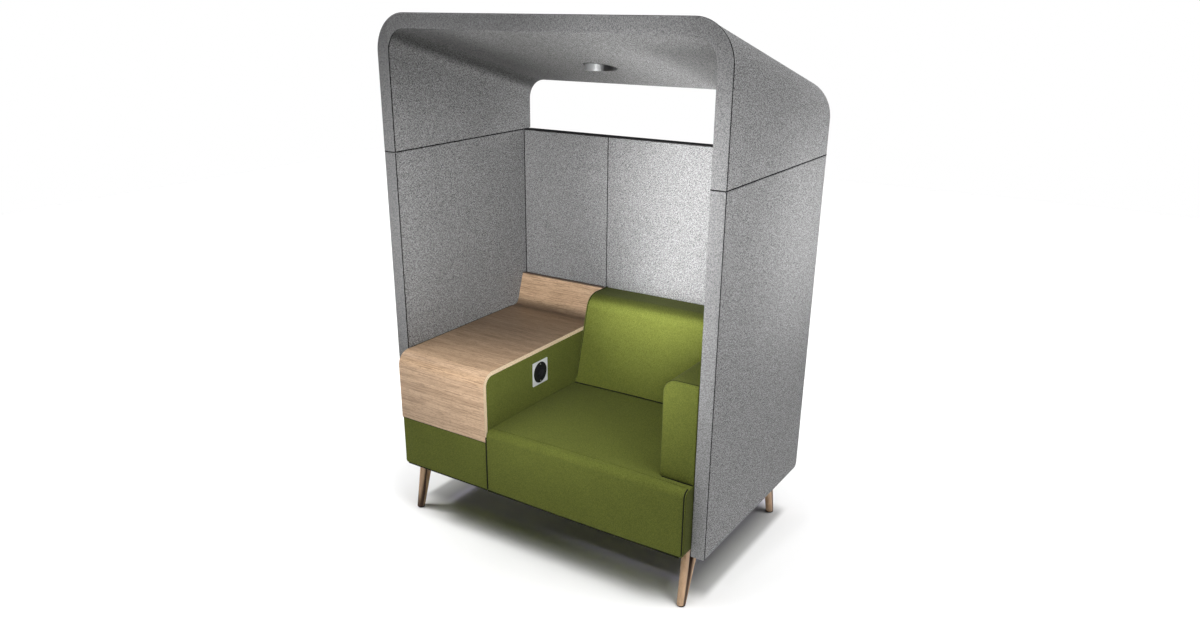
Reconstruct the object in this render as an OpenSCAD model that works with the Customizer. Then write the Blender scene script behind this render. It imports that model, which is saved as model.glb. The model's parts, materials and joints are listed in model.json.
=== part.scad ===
// Canopy booth: a high-sided upholstered cabin on four twin-prong legs, with a
// padded seat on the right and a bent-plywood laptop table on the left.
// X runs to the viewer's right, Y to the back, Z up. The origin is on the floor,
// in the middle of the booth's width and depth.

/* [Overall] */
// Outer width across the two side panels
overall_w = 1400; // [1300:10:1500]
// Depth of the side panels from front edge to back edge
side_d = 852; // [810:2:900]
// How far the seat and the table stand forward of the side panels
front_out = 58; // [45:1:70]
// Height of the panels' lower edge above the floor
floor_gap = 207; // [190:1:220]
// Height of the joint between the panels and the canopy
seam_z = 1490; // [1450:2:1520]
// Height of the canopy at its front edge
front_h = 1978; // [1930:2:2040]
// Height of the canopy at its back edge
rear_h = 1750; // [1720:2:1790]

/* [Screens] */
// Thickness of the side panels and of the canopy
panel_t = 52; // [48:1:58]
// Thickness of the two back panels
rear_t = 50; // [46:1:56]
// Thickness of the board inside each padded panel
core_t = 18; // [15:1:20]
// Rounding of the padded upright edges
edge_r = 4; // [2:0.5:6]
// Rounding of the side panels' lower back corner
toe_r = 25; // [20:1:35]
// Height of the shadow gap under the canopy
joint_gap = 4; // [3:0.5:6]
// How far the black joint strip is set in from the panel's faces
joint_inset = 5; // [3:1:8]
// Thickness of the black capping on top of the back panels
cap_t = 3; // [2:0.5:4]
// Depth of the capping's tongue in the back panels
cap_tongue_h = 12; // [8:1:16]
// Thickness of the capping's tongue
cap_tongue_t = 6; // [4:0.5:8]
// Diameter of the wooden dowels that join the panels
dowel_d = 8; // [6:1:10]
// Depth of a dowel in the board at each side of a joint
dowel_grip = 11; // [9:1:12]

/* [Canopy] */
// Outer radius of the canopy's two upper corners
corner_r = 130; // [115:1:145]
// Diameter of the steel pins that locate the canopy
pin_d = 10; // [8:1:12]
// Length of a locating pin
pin_l = 110; // [90:5:130]
// Distance of the locating pins from the front and back edges
pin_inset = 120; // [90:5:150]

/* [Downlight] */
// Sideways place of the light's centre
light_x = -70; // [-100:5:0]
// Distance of the light's centre from the front edge, along the roof
light_back = 543; // [480:1:600]
// Outer diameter of the light's rim
rim_d = 135; // [132:1:140]
// Diameter of the chrome drum that hangs in the rim
drum_d = 120; // [116:1:121]
// Height of the chrome drum
drum_h = 30; // [27:1:31]
// How far the drum reaches below its tilting axis
drum_low = 18.5; // [17:0.5:19]
// Depth of the light's steel can in the roof
can_h = 45; // [43:0.5:46]
// Thickness of the light's rim
rim_t = 1.5; // [1:0.5:2]

/* [Table] */
// Width of the table's bay beside the left panel
bay_w = 434.5; // [400:0.5:470]
// Height of the table's top face
table_h = 712; // [700:1:740]
// Thickness of the bent plywood
ply_t = 16.5; // [14:0.5:18]
// Outer radius of the front bend
bend_r = 55; // [45:1:65]
// Height of the plywood's front drop
drop_h = 277; // [240:1:300]
// Inner radius of the bend under the upstand
upstand_r = 30; // [24:1:40]
// Lean of the upstand from upright
upstand_lean = 18; // [14:1:22]
// Distance from the upstand's top edge to the back panel
upstand_gap = 30; // [26:1:40]
// Thickness of the table block's padding
block_pad = 14; // [12:1:16]
// Thickness of the table's inner boards
board_t = 18; // [15:1:22]
// Distance of the socket's centre from the booth's front line
socket_back = 361; // [330:1:400]
// Distance of the socket's centre below the table's top
socket_low = 105; // [95:1:125]
// Side of the socket's square plate
plate_w = 100; // [90:1:104]
// Diameter of the socket's round insert
insert_d = 88; // [80:1:88]

/* [Seat] */
// Height of the seat at the middle of its crown
seat_h = 490; // [475:1:505]
// Height of the blocks' underside
block_z = 224; // [223:1:240]
// Distance from the seat's front to the foot of the backrest
seat_reach = 609; // [580:1:620]
// Radius of the seat's rolled front edge
roll_r = 28; // [20:1:34]
// Height of the seat's crown above its sides
seat_crown = 6; // [4:1:9]
// How far the seat's top falls from its crest to the foot of the backrest
seat_fall = 6; // [3:1:9]
// Height of the seat's inner frame above the blocks' underside
frame_h = 160; // [140:2:180]
// Thickness of the seat frame's rails
rail_t = 22; // [18:1:26]
// Thickness of one elastic strap under the seat
strap_t = 2; // [1.5:0.5:3]
// Width of one elastic strap
strap_w = 50; // [40:2:60]
// Height of the top of the backrest, the arm and the upstand
arm_h = 848; // [830:1:880]
// Recline of the backrest from upright
recline = 15.6; // [13:0.2:17]
// Radius of the backrest's rolled top
back_roll_r = 70; // [55:1:80]
// Thickness of the padding on the backrest's face
back_pad = 46; // [38:1:54]
// Width of the arm
arm_w = 134; // [124:1:146]
// Radius of the arm's rounded upper edge
arm_r = 47; // [38:1:55]

/* [Legs] */
// Distance of a foot's centre from the side panel's outer face
foot_side = 75; // [70:1:90]
// Distance of a front foot's centre from the side panels' front edge, forward
foot_front = 6; // [0:1:10]
// Distance of a back foot's centre from the side panels' back edge
foot_rear = 63; // [60:1:80]
// Diameter of a leg's prongs
prong_d = 29; // [26:1:30]
// How far the first prong's top lies back from its foot
prong_near = 34; // [28:1:40]
// How far the second prong's top lies back from its foot
prong_far = 80; // [74:1:84]
// How far the first prong's top lies inward of the foot
prong_in = 5; // [3:1:8]
// How far the second prong's top lies outward of the foot
prong_out = 4; // [2:1:5]
// Distance between the two prongs' centres at the foot
prong_gap = 6; // [4:1:9]
// Diameter of the black levelling glide
glide_d = 31; // [28:1:34]
// Thickness of the glide's pad
glide_t = 6; // [5:0.5:8]
// Diameter of the glide's threaded stem
stem_d = 8; // [6:1:10]
// Thickness of the leg's steel mounting plate
leg_plate_t = 4; // [3:0.5:5]

/* [Clearances] */
// Gap between pieces that touch lightly, such as padding round a board
fit = 0.3; // [0.2:0.05:0.4]
// Gap between the blocks, the panels and the backrest
block_gap = 1.5; // [1:0.25:2]
// Radial gap round bolts, dowels and pins
hole_fit = 0.2; // [0.15:0.05:0.3]
// Radial running gap of a turning or sliding shaft
run_fit = 0.05; // [0.03:0.01:0.08]

/* [Hidden] */
$fn = 64;

// Colours as the photo shows them
grey_cloth = [0.52, 0.52, 0.53];
green_cloth = [0.38, 0.43, 0.17];
oak = [0.80, 0.66, 0.50];
birch = [0.86, 0.78, 0.63];
board = [0.72, 0.60, 0.44];
black = [0.07, 0.07, 0.07];
steel = [0.62, 0.63, 0.65];
silver = [0.80, 0.80, 0.81];

// Main lines of the booth
half_w = overall_w / 2;
inner_x = half_w - panel_t;
overall_d = side_d + front_out;
front_y = -overall_d / 2;
panel_y = front_y + front_out;
rear_y = overall_d / 2;
rear_face_y = rear_y - rear_t;
panel_top = seam_z - joint_gap / 2;
canopy_z = seam_z + joint_gap / 2;
pad_t = (panel_t - core_t) / 2;
rear_pad = (rear_t - core_t) / 2;
slope = atan((front_h - rear_h) / side_d);
far = 3 * side_d;
eps = 0.01;
swell_n = 16;

// Where the table ends and the seat begins
split_x = -inner_x + bay_w;
table_x0 = -inner_x + block_gap;
table_x1 = split_x - block_gap / 2;
seat_x0 = split_x + block_gap / 2;
seat_x1 = inner_x - block_gap;
block_rear_y = rear_face_y - block_gap;
corner_trim = 16;

// Outline tools

// Rectangle between two corners with all its corners rounded
module round_rect(x0, y0, x1, y1, r) {
    translate([x0 + r, y0]) square([x1 - x0 - 2 * r, y1 - y0]);
    translate([x0, y0 + r]) square([x1 - x0, y1 - y0 - 2 * r]);
    for (x = [x0 + r, x1 - r], y = [y0 + r, y1 - r])
        translate([x, y]) circle(r = r);
}

// Plain rectangle between two corners
module rect(x0, y0, x1, y1) {
    translate([x0, y0]) square([x1 - x0, y1 - y0]);
}

// Points along a cushion's swell between a and b: it falls by rise to the sides
// and is drawn in by draw at its very edges
function swell(a, b, top, rise, draw) = [
    for (i = [0 : swell_n])
        let (t = sin(180 * i / swell_n - 90))
        [(a + b) / 2 + t * (b - a) / 2, top - rise * pow(t, 2) - draw * pow(t, 20)]
];

// An outline in Y and Z, pushed along X
module push_x(x0, x1) {
    translate([x0, 0, 0]) rotate([90, 0, 90]) linear_extrude(height = x1 - x0) children();
}

// An outline in X and Z, pushed along Y
module push_y(y0, y1) {
    translate([0, y1, 0]) rotate([90, 0, 0]) linear_extrude(height = y1 - y0) children();
}

// An outline in X and Y, pushed along Z
module push_z(z0, z1) {
    translate([0, 0, z0]) linear_extrude(height = z1 - z0) children();
}

// A box between two corners
module block(a, b) {
    translate(a) cube(b - a);
}

// A round bar along X, Y or Z
module bar_x(x0, x1, y, z, d) {
    translate([x0, y, z]) rotate([0, 90, 0]) cylinder(d = d, h = x1 - x0);
}

module bar_z(z0, z1, x, y, d) {
    translate([x, y, z0]) cylinder(d = d, h = z1 - z0);
}

// Screens: a board wrapped in foam and cloth

// Outer form of a side panel, side is -1 for the left and 1 for the right
module side_panel_form(side) {
    mid = side * (half_w - panel_t / 2);
    intersection() {
        push_z(floor_gap, panel_top)
            round_rect(mid - panel_t / 2, panel_y, mid + panel_t / 2, rear_y, edge_r);
        push_x(mid - panel_t, mid + panel_t) {
            rect(panel_y, floor_gap, rear_y - toe_r, panel_top);
            rect(panel_y, floor_gap + toe_r, rear_y, panel_top);
            translate([rear_y - toe_r, floor_gap + toe_r]) circle(r = toe_r);
        }
    }
}

// The board inside a side panel, grown on every side by grow
module side_core_form(side, grow) {
    mid = side * (half_w - panel_t / 2);
    block([mid - core_t / 2 - grow, panel_y + pad_t - grow, floor_gap + pad_t - grow],
          [mid + core_t / 2 + grow, rear_y - pad_t + grow, panel_top - pad_t + grow]);
}

module side_panel_core(side) {
    difference() {
        side_core_form(side, 0);
        rear_dowel_bars(hole_fit);
        canopy_pin_bars(hole_fit);
        panel_bolt_bars(hole_fit);
    }
}

module side_panel_cover(side) {
    difference() {
        side_panel_form(side);
        side_core_form(side, fit);
        rear_dowel_bars(hole_fit);
        canopy_pin_bars(hole_fit);
        panel_bolt_bars(hole_fit);
    }
}

// Ends of the two back panels
narrow_x0 = -inner_x + fit;
narrow_x1 = split_x - fit;
wide_x0 = split_x + fit;
wide_x1 = inner_x - fit;
rear_top = seam_z - cap_t;
rear_mid_y = (rear_face_y + rear_y) / 2;

module rear_form(x0, x1) {
    push_z(floor_gap, rear_top)
        round_rect(x0, rear_face_y, x1, rear_y, edge_r);
}

module rear_core_form(x0, x1, grow) {
    block([x0 + rear_pad - grow, rear_face_y + rear_pad - grow, floor_gap + rear_pad - grow],
          [x1 - rear_pad + grow, rear_y - rear_pad + grow, rear_top - rear_pad / 2 + grow]);
}

// The capping's tongue, grown by grow, over the whole width
module cap_tongue(grow) {
    block([narrow_x0 - grow, rear_mid_y - cap_tongue_t / 2 - grow, rear_top - cap_tongue_h - grow],
          [wide_x1 + grow, rear_mid_y + cap_tongue_t / 2 + grow, rear_top + eps + grow]);
}

module rear_core(x0, x1) {
    difference() {
        rear_core_form(x0, x1, 0);
        cap_tongue(fit);
        rear_dowel_bars(hole_fit);
    }
}

module rear_cover(x0, x1) {
    difference() {
        rear_form(x0, x1);
        rear_core_form(x0, x1, fit);
        cap_tongue(fit);
        rear_dowel_bars(hole_fit);
    }
}

module left_panel_core() { color(board) side_panel_core(-1); }
module right_panel_core() { color(board) side_panel_core(1); }
module left_panel_cover() { color(grey_cloth) side_panel_cover(-1); }
module right_panel_cover() { color(grey_cloth) side_panel_cover(1); }
module rear_narrow_core() { color(board) rear_core(narrow_x0, narrow_x1); }
module rear_narrow_cover() { color(grey_cloth) rear_cover(narrow_x0, narrow_x1); }
module rear_wide_core() { color(board) rear_core(wide_x0, wide_x1); }
module rear_wide_cover() { color(grey_cloth) rear_cover(wide_x0, wide_x1); }

// Black T-section that closes the top of both back panels
module rear_cap_rail() {
    color(black) {
        block([narrow_x0, rear_face_y, rear_top], [wide_x1, rear_y, seam_z]);
        cap_tongue(0);
    }
}

// Three rows of dowels at each of the three upright joints of the back
dowel_rows = 3;
dowel_margin = 140;
dowel_z0 = floor_gap + dowel_margin;
dowel_dz = (rear_top - dowel_margin - dowel_z0) / (dowel_rows - 1);

module rear_dowel_bars(grow) {
    side_half = pad_t + dowel_grip;
    rear_half = rear_pad + dowel_grip;
    for (i = [0 : dowel_rows - 1]) {
        z = dowel_z0 + i * dowel_dz;
        bar_x(-inner_x - side_half - grow, -inner_x + rear_half + grow, rear_mid_y, z, dowel_d + 2 * grow);
        bar_x(split_x - rear_half - grow, split_x + rear_half + grow, rear_mid_y, z, dowel_d + 2 * grow);
        bar_x(inner_x - rear_half - grow, inner_x + side_half + grow, rear_mid_y, z, dowel_d + 2 * grow);
    }
}

module rear_dowels() { color(birch) rear_dowel_bars(0); }

// Black strips that hold the shadow gap open under the canopy's sides
module joint_strips() {
    color(black)
        difference() {
            for (side = [-1, 1]) {
                mid = side * (half_w - panel_t / 2);
                half = panel_t / 2 - joint_inset;
                block([mid - half, panel_y + joint_inset, panel_top],
                      [mid + half, rear_y - joint_inset, canopy_z]);
            }
            canopy_pin_bars(hole_fit);
        }
}

// Canopy: a hood with two round upper corners and a roof that falls to the back

// Everything under the roof's outer face and between the sides, set in by inset
module hood_form(inset) {
    half = half_w - inset;
    r = corner_r - inset;
    translate([0, panel_y, front_h]) rotate([-slope, 0, 0])
        push_y(-side_d, 2 * side_d)
            translate([0, -inset]) {
                rect(-half, -far, half, -r);
                rect(-half + r, -r - 1, half - r, 0);
                for (x = [-half + r, half - r]) translate([x, -r]) circle(r = r);
            }
}

// Upright slice of space that holds the canopy, set in at front, back and bottom
module hood_slice(ends, bottom) {
    block([-far, panel_y + ends, canopy_z + bottom], [far, rear_y - ends, 2 * front_h]);
}

// The hood's wall between two depths below its outer face
module hood_wall(outer, inner, ends, bottom) {
    intersection() {
        difference() {
            hood_form(outer);
            hood_form(inner);
        }
        hood_slice(ends, bottom);
    }
}

module canopy_core() {
    color(birch)
        difference() {
            hood_wall(pad_t, pad_t + core_t, pad_t, pad_t);
            canopy_pin_bars(hole_fit);
            at_light() light_pocket();
        }
}

// Foam and cloth over the outside and round the front, back and lower edges
module canopy_cover() {
    color(grey_cloth)
        difference() {
            hood_wall(0, panel_t, 0, 0);
            hood_wall(pad_t - fit, pad_t + core_t + fit, pad_t - fit, pad_t - fit);
            hood_wall(pad_t + core_t, panel_t + 1, pad_t - fit, -1);
            canopy_pin_bars(hole_fit);
            at_light() light_pocket();
        }
}

module canopy_lining() {
    color(grey_cloth)
        difference() {
            hood_wall(pad_t + core_t + fit, panel_t, pad_t, 0);
            at_light() light_pocket();
        }
}

module canopy_pin_bars(grow) {
    for (side = [-1, 1], y = [panel_y + pin_inset, rear_y - pin_inset])
        bar_z(seam_z - pin_l / 2 - grow, seam_z + pin_l / 2 + grow,
              side * (half_w - panel_t / 2), y, pin_d + 2 * grow);
}

module canopy_pins() { color(steel) canopy_pin_bars(0); }

// Downlight: a rim and can in the roof, and a chrome drum that tilts on two pins.
// The drum hangs upright under the sloping roof, so its front stands out further.

can_wall = 1.2;
rim_r = rim_d / 2;
can_r = rim_r - 0.5;
collar_t = 2.7;
mouth_r = can_r - can_wall - collar_t - 0.1;
collar_h = 14;
pivot_h = 7;
pivot_d = 4;
drum_r = drum_d / 2;
drum_wall = 2;
drum_top = drum_h - drum_low;
reflector_t = 1.5;
throat_r = 26;
lens_t = 2;
sink_r = 24;
sink_h = 12;
sink_fins = 10;

// Places its children with their origin on the roof's lower face
module at_light() {
    translate([0, panel_y, front_h]) rotate([-slope, 0, 0])
        translate([light_x, light_back, -panel_t]) children();
}

// Places its children on the tilting axis, upright
module at_drum() {
    at_light() translate([0, 0, pivot_h]) rotate([slope, 0, 0]) children();
}

module light_pocket() {
    translate([0, 0, -panel_t]) cylinder(r = can_r + fit, h = panel_t + can_h + fit);
}

module light_can() {
    color(steel) at_light()
        rotate_extrude()
            polygon([[can_r - can_wall, 0], [can_r, 0], [can_r, can_h], [0, can_h],
                     [0, can_h - can_wall], [can_r - can_wall, can_h - can_wall]]);
}

module light_rim() {
    color(black) at_light()
        difference() {
            rotate_extrude()
                polygon([[mouth_r, -rim_t], [rim_r - 1, -rim_t], [rim_r, -rim_t / 3], [rim_r, 0],
                         [mouth_r + collar_t, 0], [mouth_r + collar_t, collar_h], [mouth_r, collar_h]]);
            translate([0, 0, pivot_h]) light_pivot_bars(run_fit);
        }
}

// Pins along X through the rim's collar and the drum's wall
module light_pivot_bars(grow) {
    for (side = [0, 180])
        rotate([0, 0, side])
            bar_x(drum_r - drum_wall + 0.2 - grow, mouth_r + collar_t - 0.2 + grow, 0, 0,
                  pivot_d + 2 * grow);
}

module light_pivot_pins() { color(black) at_light() translate([0, 0, pivot_h]) light_pivot_bars(0); }

module light_ring() {
    color(silver) at_drum()
        difference() {
            rotate_extrude()
                polygon([[drum_r - drum_wall, -drum_low], [drum_r - 0.6, -drum_low],
                         [drum_r, 0.6 - drum_low], [drum_r, drum_top], [drum_r - drum_wall, drum_top]]);
            light_pivot_bars(run_fit);
        }
}

// Polished cup: a flange on the drum and a cone up to the lens
module light_reflector() {
    bowl_r = drum_r - drum_wall - fit;
    bowl_z = 4.5 - drum_low;
    color(silver) at_drum()
        rotate_extrude()
            polygon([[bowl_r - reflector_t, bowl_z], [bowl_r, bowl_z], [bowl_r, bowl_z + 3],
                     [throat_r + 2 * reflector_t, drum_top], [drum_r - 0.5, drum_top],
                     [drum_r - 0.5, drum_top + reflector_t], [throat_r, drum_top + reflector_t],
                     [throat_r, drum_top - lens_t], [bowl_r - reflector_t, bowl_z + 2]]);
}

module light_lens() {
    color([0.95, 0.95, 0.90]) at_drum()
        translate([0, 0, drum_top + reflector_t - lens_t])
            cylinder(r = throat_r - run_fit, h = lens_t);
}

// Finned cooler that closes the cup behind the lens
module light_heat_sink() {
    base_z = drum_top + reflector_t;
    base_t = 1.5;
    color([0.2, 0.2, 0.21]) at_drum() {
        translate([0, 0, base_z]) cylinder(r = throat_r + reflector_t, h = base_t);
        intersection() {
            translate([0, 0, base_z]) cylinder(r = sink_r, h = sink_h + base_t);
            for (i = [0 : sink_fins - 1])
                rotate([0, 0, i * 180 / sink_fins])
                    block([-sink_r - 1, -0.6, base_z], [sink_r + 1, 0.6, base_z + sink_h + base_t]);
        }
    }
}

// Table: a padded box under one sheet of bent plywood

drop_z = table_h - drop_h;
ply_back_y = front_y + ply_t;
lower_front_y = front_y + 2;
carcass_y0 = ply_back_y + block_pad;
carcass_z0 = block_z + 2;
carcass_z1 = table_h - ply_t - fit;
upstand_face_y = rear_face_y - upstand_gap;
upstand_y = upstand_face_y - (arm_h - table_h) * tan(upstand_lean)
            - upstand_r * tan((90 - upstand_lean) / 2);

// Everything over one face of the flat sheet and its upstand, r being the bend's radius
module over_sheet(r) {
    bend_z = table_h + upstand_r;
    foot = [upstand_y + r * cos(upstand_lean), bend_z - r * sin(upstand_lean)];
    tip = foot + (arm_h - foot[1]) * [tan(upstand_lean), 1];
    y0 = front_y + bend_r;
    polygon([[y0, bend_z - r], [upstand_y, bend_z - r], [upstand_y, bend_z], foot, tip, [y0, arm_h]]);
    translate([upstand_y, bend_z]) circle(r = r);
}

// Everything under one face of the sheet's front bend, set in by inset
module under_bend(inset) {
    bend_z = table_h - bend_r;
    y1 = front_y + 2 * bend_r + inset;
    rect(front_y + inset, drop_z - inset, y1, bend_z);
    rect(front_y + bend_r, drop_z - inset, y1, table_h - inset);
    translate([front_y + bend_r, bend_z]) circle(r = bend_r - inset);
}

// Outline of the bent sheet, seen from the side
module ply_outline() {
    difference() {
        under_bend(0);
        under_bend(ply_t);
    }
    difference() {
        over_sheet(upstand_r + ply_t);
        over_sheet(upstand_r);
    }
}

module table_top() {
    color(oak)
        difference() {
            push_x(table_x0, table_x1) ply_outline();
            table_screw_bars(hole_fit);
        }
}

// Outline of the padded block under the plywood
module table_block_outline() {
    r = bend_r - ply_t - fit;
    y = ply_back_y + fit;
    rect(lower_front_y, block_z, block_rear_y, drop_z - 1);
    rect(y, block_z, block_rear_y, carcass_z1 - r);
    rect(y + r, block_z, block_rear_y, carcass_z1);
    translate([y + r, carcass_z1 - r]) circle(r = r);
}

// The box of boards, grown by grow where the padding wraps it
module carcass_form(grow) {
    block([table_x0 + block_pad - grow, carcass_y0 - grow, carcass_z0 - 3 * grow],
          [table_x1 - block_pad + grow, block_rear_y + grow, carcass_z1 + 3 * grow]);
}

hand_side = 100;
hand_high = 120;

module table_carcass() {
    color(board)
        difference() {
            intersection() {
                carcass_form(0);
                push_x(table_x0, table_x1) table_block_outline();
            }
            block([table_x0 + block_pad + board_t, carcass_y0 + board_t, carcass_z0 + board_t],
                  [table_x1 - block_pad - board_t, block_rear_y - board_t, carcass_z1 - board_t]);
            // Hand hole in the back board
            block([table_x0 + hand_side, block_rear_y - 2 * board_t, carcass_z0 + hand_high],
                  [table_x1 - hand_side, block_rear_y + 1, carcass_z1 - hand_high]);
            socket_hole(hole_fit);
            table_screw_bars(hole_fit);
            block_bolt_bars(hole_fit);
            panel_bolt_bars(hole_fit);
            plate_screw_bars(hole_fit);
        }
}

module table_cover() {
    color(green_cloth)
        difference() {
            intersection() {
                push_x(table_x0, table_x1) table_block_outline();
                push_y(front_y - 1, rear_y) {
                    rect(table_x0, block_z + corner_trim, table_x1, table_h);
                    rect(table_x0 + corner_trim, block_z, table_x1, table_h);
                    translate([table_x0 + corner_trim, block_z + corner_trim]) circle(r = corner_trim);
                }
            }
            carcass_form(fit);
            block([table_x0 + block_pad - fit, carcass_y0 - fit, block_z - 1],
                  [table_x1 - block_pad + fit, rear_y, table_h]);
            socket_hole(hole_fit);
            block_bolt_bars(hole_fit);
            panel_bolt_bars(hole_fit);
        }
}

// Screws up through the carcass into the plywood, two rows of three
table_screw_l = 32;
table_screw_d = 5;
table_screw_head = 3;
table_screw_side = 90;
table_screw_front = 120;
table_screw_rear = 80;
table_screw_top = table_h - ply_t / 4;

// Places its children at each screw's upper end
module on_table_screws() {
    y0 = carcass_y0 + table_screw_front;
    y1 = upstand_y - table_screw_rear;
    for (x = [table_x0 + table_screw_side, table_x1 - table_screw_side], y = [y0, (y0 + y1) / 2, y1])
        translate([x, y, table_screw_top]) children();
}

module table_screw_bars(grow) {
    on_table_screws()
        translate([0, 0, -table_screw_l - grow])
            cylinder(d = table_screw_d + 2 * grow, h = table_screw_l + 2 * grow);
}

module table_screws() {
    color(steel) {
        table_screw_bars(0);
        on_table_screws()
            translate([0, 0, -table_screw_l - table_screw_head])
                cylinder(d = 2 * table_screw_d, h = table_screw_head);
    }
}

// Socket in the table's side, facing the sitter

socket_y = front_y + socket_back;
socket_z = table_h - socket_low;
face_t = 2.5;
well_r = 20;
well_h = 15;
insert_h = 22;
box_w = 72;
box_h = 44;

// Places its children on the table's side face, with Z pointing to the sitter
module at_socket() {
    translate([table_x1, socket_y, socket_z]) rotate([0, 90, 0]) children();
}

// Hole through the padding and the board for the insert and its box
module socket_hole(grow) {
    at_socket()
        translate([0, 0, -box_h - insert_h - grow])
            cylinder(d = insert_d + 2 * grow, h = box_h + insert_h + grow + 1);
}

module socket_plate() {
    color(silver) at_socket()
        difference() {
            push_z(fit, face_t) round_rect(-plate_w / 2, -plate_w / 2, plate_w / 2, plate_w / 2, 3);
            translate([0, 0, -1]) cylinder(d = insert_d + 2 * fit, h = face_t + 2);
        }
}

// Round black insert: a well for the plug with two round contact holes
module socket_insert() {
    color(black) at_socket()
        difference() {
            rotate_extrude()
                polygon([[0, -insert_h], [insert_d / 2, -insert_h], [insert_d / 2, face_t],
                         [insert_d / 2 - 1.5, face_t + 1], [well_r + 1, face_t + 1], [well_r, face_t],
                         [well_r, face_t - well_h], [0, face_t - well_h]]);
            for (side = [-1, 1])
                translate([0, side * 9.5, -insert_h + 2]) cylinder(d = 5, h = insert_h);
        }
}

module socket_box() {
    color([0.25, 0.25, 0.26]) at_socket()
        difference() {
            translate([0, 0, -insert_h - box_h]) cylinder(d = box_w, h = box_h - fit);
            translate([0, 0, -insert_h - box_h + 2]) cylinder(d = box_w - 4, h = box_h);
        }
}

module socket_screws() {
    color(steel) at_socket()
        for (side = [-1, 1])
            translate([side * (insert_d / 2 - 8), 0, face_t + 1]) {
                cylinder(d = 6, h = 0.8);
            }
}

// Seat: a crowned block of foam and cloth over a timber frame

back_foot_y = front_y + seat_reach;
seat_rear_y = back_foot_y - fit;
seat_crest = 130;
crest_y = front_y + seat_crest;
seat_front_pad = 26;
seat_side_pad = 16;
frame_x0 = seat_x0 + seat_side_pad;
frame_x1 = seat_x1 - seat_side_pad;
frame_y0 = front_y + seat_front_pad;
frame_z0 = block_z + 2;
frame_z1 = block_z + frame_h;
strap_top = frame_z1 + 2 * strap_t;
back_rail_y = back_foot_y + 44;
seat_front_swell = 3;
seat_draw = 5;
front_draw = 3;
seam_y = front_y + roll_r + 4;
seam_w = 2.4;
seam_deep = 2.5;

// How far the seat's top lies under its crest at depth y
function seat_drop(y) = seat_fall * pow((y - crest_y) / (back_foot_y - crest_y), 2);

// The seat block's outer form
module seat_form() {
    across = swell(seat_x0, seat_x1, seat_h, seat_crown, seat_draw);
    front = swell(seat_x0, seat_x1, -front_y, seat_front_swell, front_draw);
    along = [for (i = [0 : swell_n])
        let (y = front_y + (seat_rear_y - front_y) * i / swell_n)
        [y, seat_h - seat_drop(y)]];
    intersection() {
        push_x(seat_x0, seat_x1)
            intersection() {
                union() {
                    rect(front_y, block_z, seat_rear_y, seat_h - roll_r);
                    rect(front_y + roll_r, block_z, seat_rear_y, seat_h);
                    translate([front_y + roll_r, seat_h - roll_r]) circle(r = roll_r);
                }
                polygon(concat(along, [[seat_rear_y, block_z], [front_y, block_z]]));
            }
        push_y(front_y - 1, seat_rear_y + 1)
            difference() {
                polygon(concat(across, [[seat_x1, block_z], [seat_x0, block_z]]));
                translate([seat_x1 - corner_trim, block_z + corner_trim])
                    difference() {
                        rect(0, -corner_trim - 1, corner_trim + 1, 0);
                        circle(r = corner_trim);
                    }
            }
        mirror([0, 1, 0]) push_z(block_z - 1, seat_h + 1)
            polygon(concat(front, [[seat_x1, -seat_rear_y], [seat_x0, -seat_rear_y]]));
    }
}

// Sewn line across the top, just behind the rolled front edge
module seat_seam() {
    line = swell(seat_x0, seat_x1, seat_h - seat_drop(seam_y) - seam_deep, seat_crown, seat_draw);
    push_y(seam_y - seam_w / 2, seam_y + seam_w / 2)
        polygon(concat(line, [[seat_x1, seat_h + 1], [seat_x0, seat_h + 1]]));
}

module seat_cushion() {
    color(green_cloth)
        difference() {
            seat_form();
            seat_seam();
            block([frame_x0 - fit, frame_y0 - fit, block_z - 1],
                  [frame_x1 + fit, seat_rear_y + 1, strap_top + fit]);
            // The arm stands in the cushion
            block([arm_x0 - fit, arm_front_y - fit, arm_z - fit], [seat_x1 + 1, rear_y, seat_h + 1]);
            leg_plate_forms(fit);
            block_bolt_bars(hole_fit);
            panel_bolt_bars(hole_fit);
            arm_bolt_bars(hole_fit);
        }
}

// Four rails, a rail under the backrest, a middle rail and corner blocks
module seat_frame() {
    mid_x = (frame_x0 + frame_x1) / 2;
    corner_w = 90;
    corner_d = 150;
    corner_h = 60;
    color(board)
        difference() {
            union() {
                difference() {
                    block([frame_x0, frame_y0, frame_z0], [frame_x1, block_rear_y, frame_z1]);
                    block([frame_x0 + rail_t, frame_y0 + rail_t, frame_z0 - 1],
                          [frame_x1 - rail_t, block_rear_y - rail_t, frame_z1 + 1]);
                }
                block([frame_x0 + 1, back_rail_y, frame_z0 + 40],
                      [frame_x1 - 1, back_rail_y + rail_t, frame_z1]);
                block([mid_x - rail_t / 2, frame_y0 + 1, frame_z0],
                      [mid_x + rail_t / 2, block_rear_y - 1, frame_z1 - 60]);
                for (y = [[frame_y0 + 1, frame_y0 + corner_d], [block_rear_y - corner_d, block_rear_y - 1]])
                    block([frame_x1 - corner_w, y[0], frame_z0], [frame_x1 - 1, y[1], frame_z0 + corner_h]);
            }
            block_bolt_bars(hole_fit);
            panel_bolt_bars(hole_fit);
            arm_bolt_bars(hole_fit);
            back_bolt_bars(hole_fit);
            plate_screw_bars(hole_fit);
        }
}

// Elastic straps stapled to the frame's top, front to back over side to side
strap_rows = 7;
strap_cross = 4;

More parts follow.
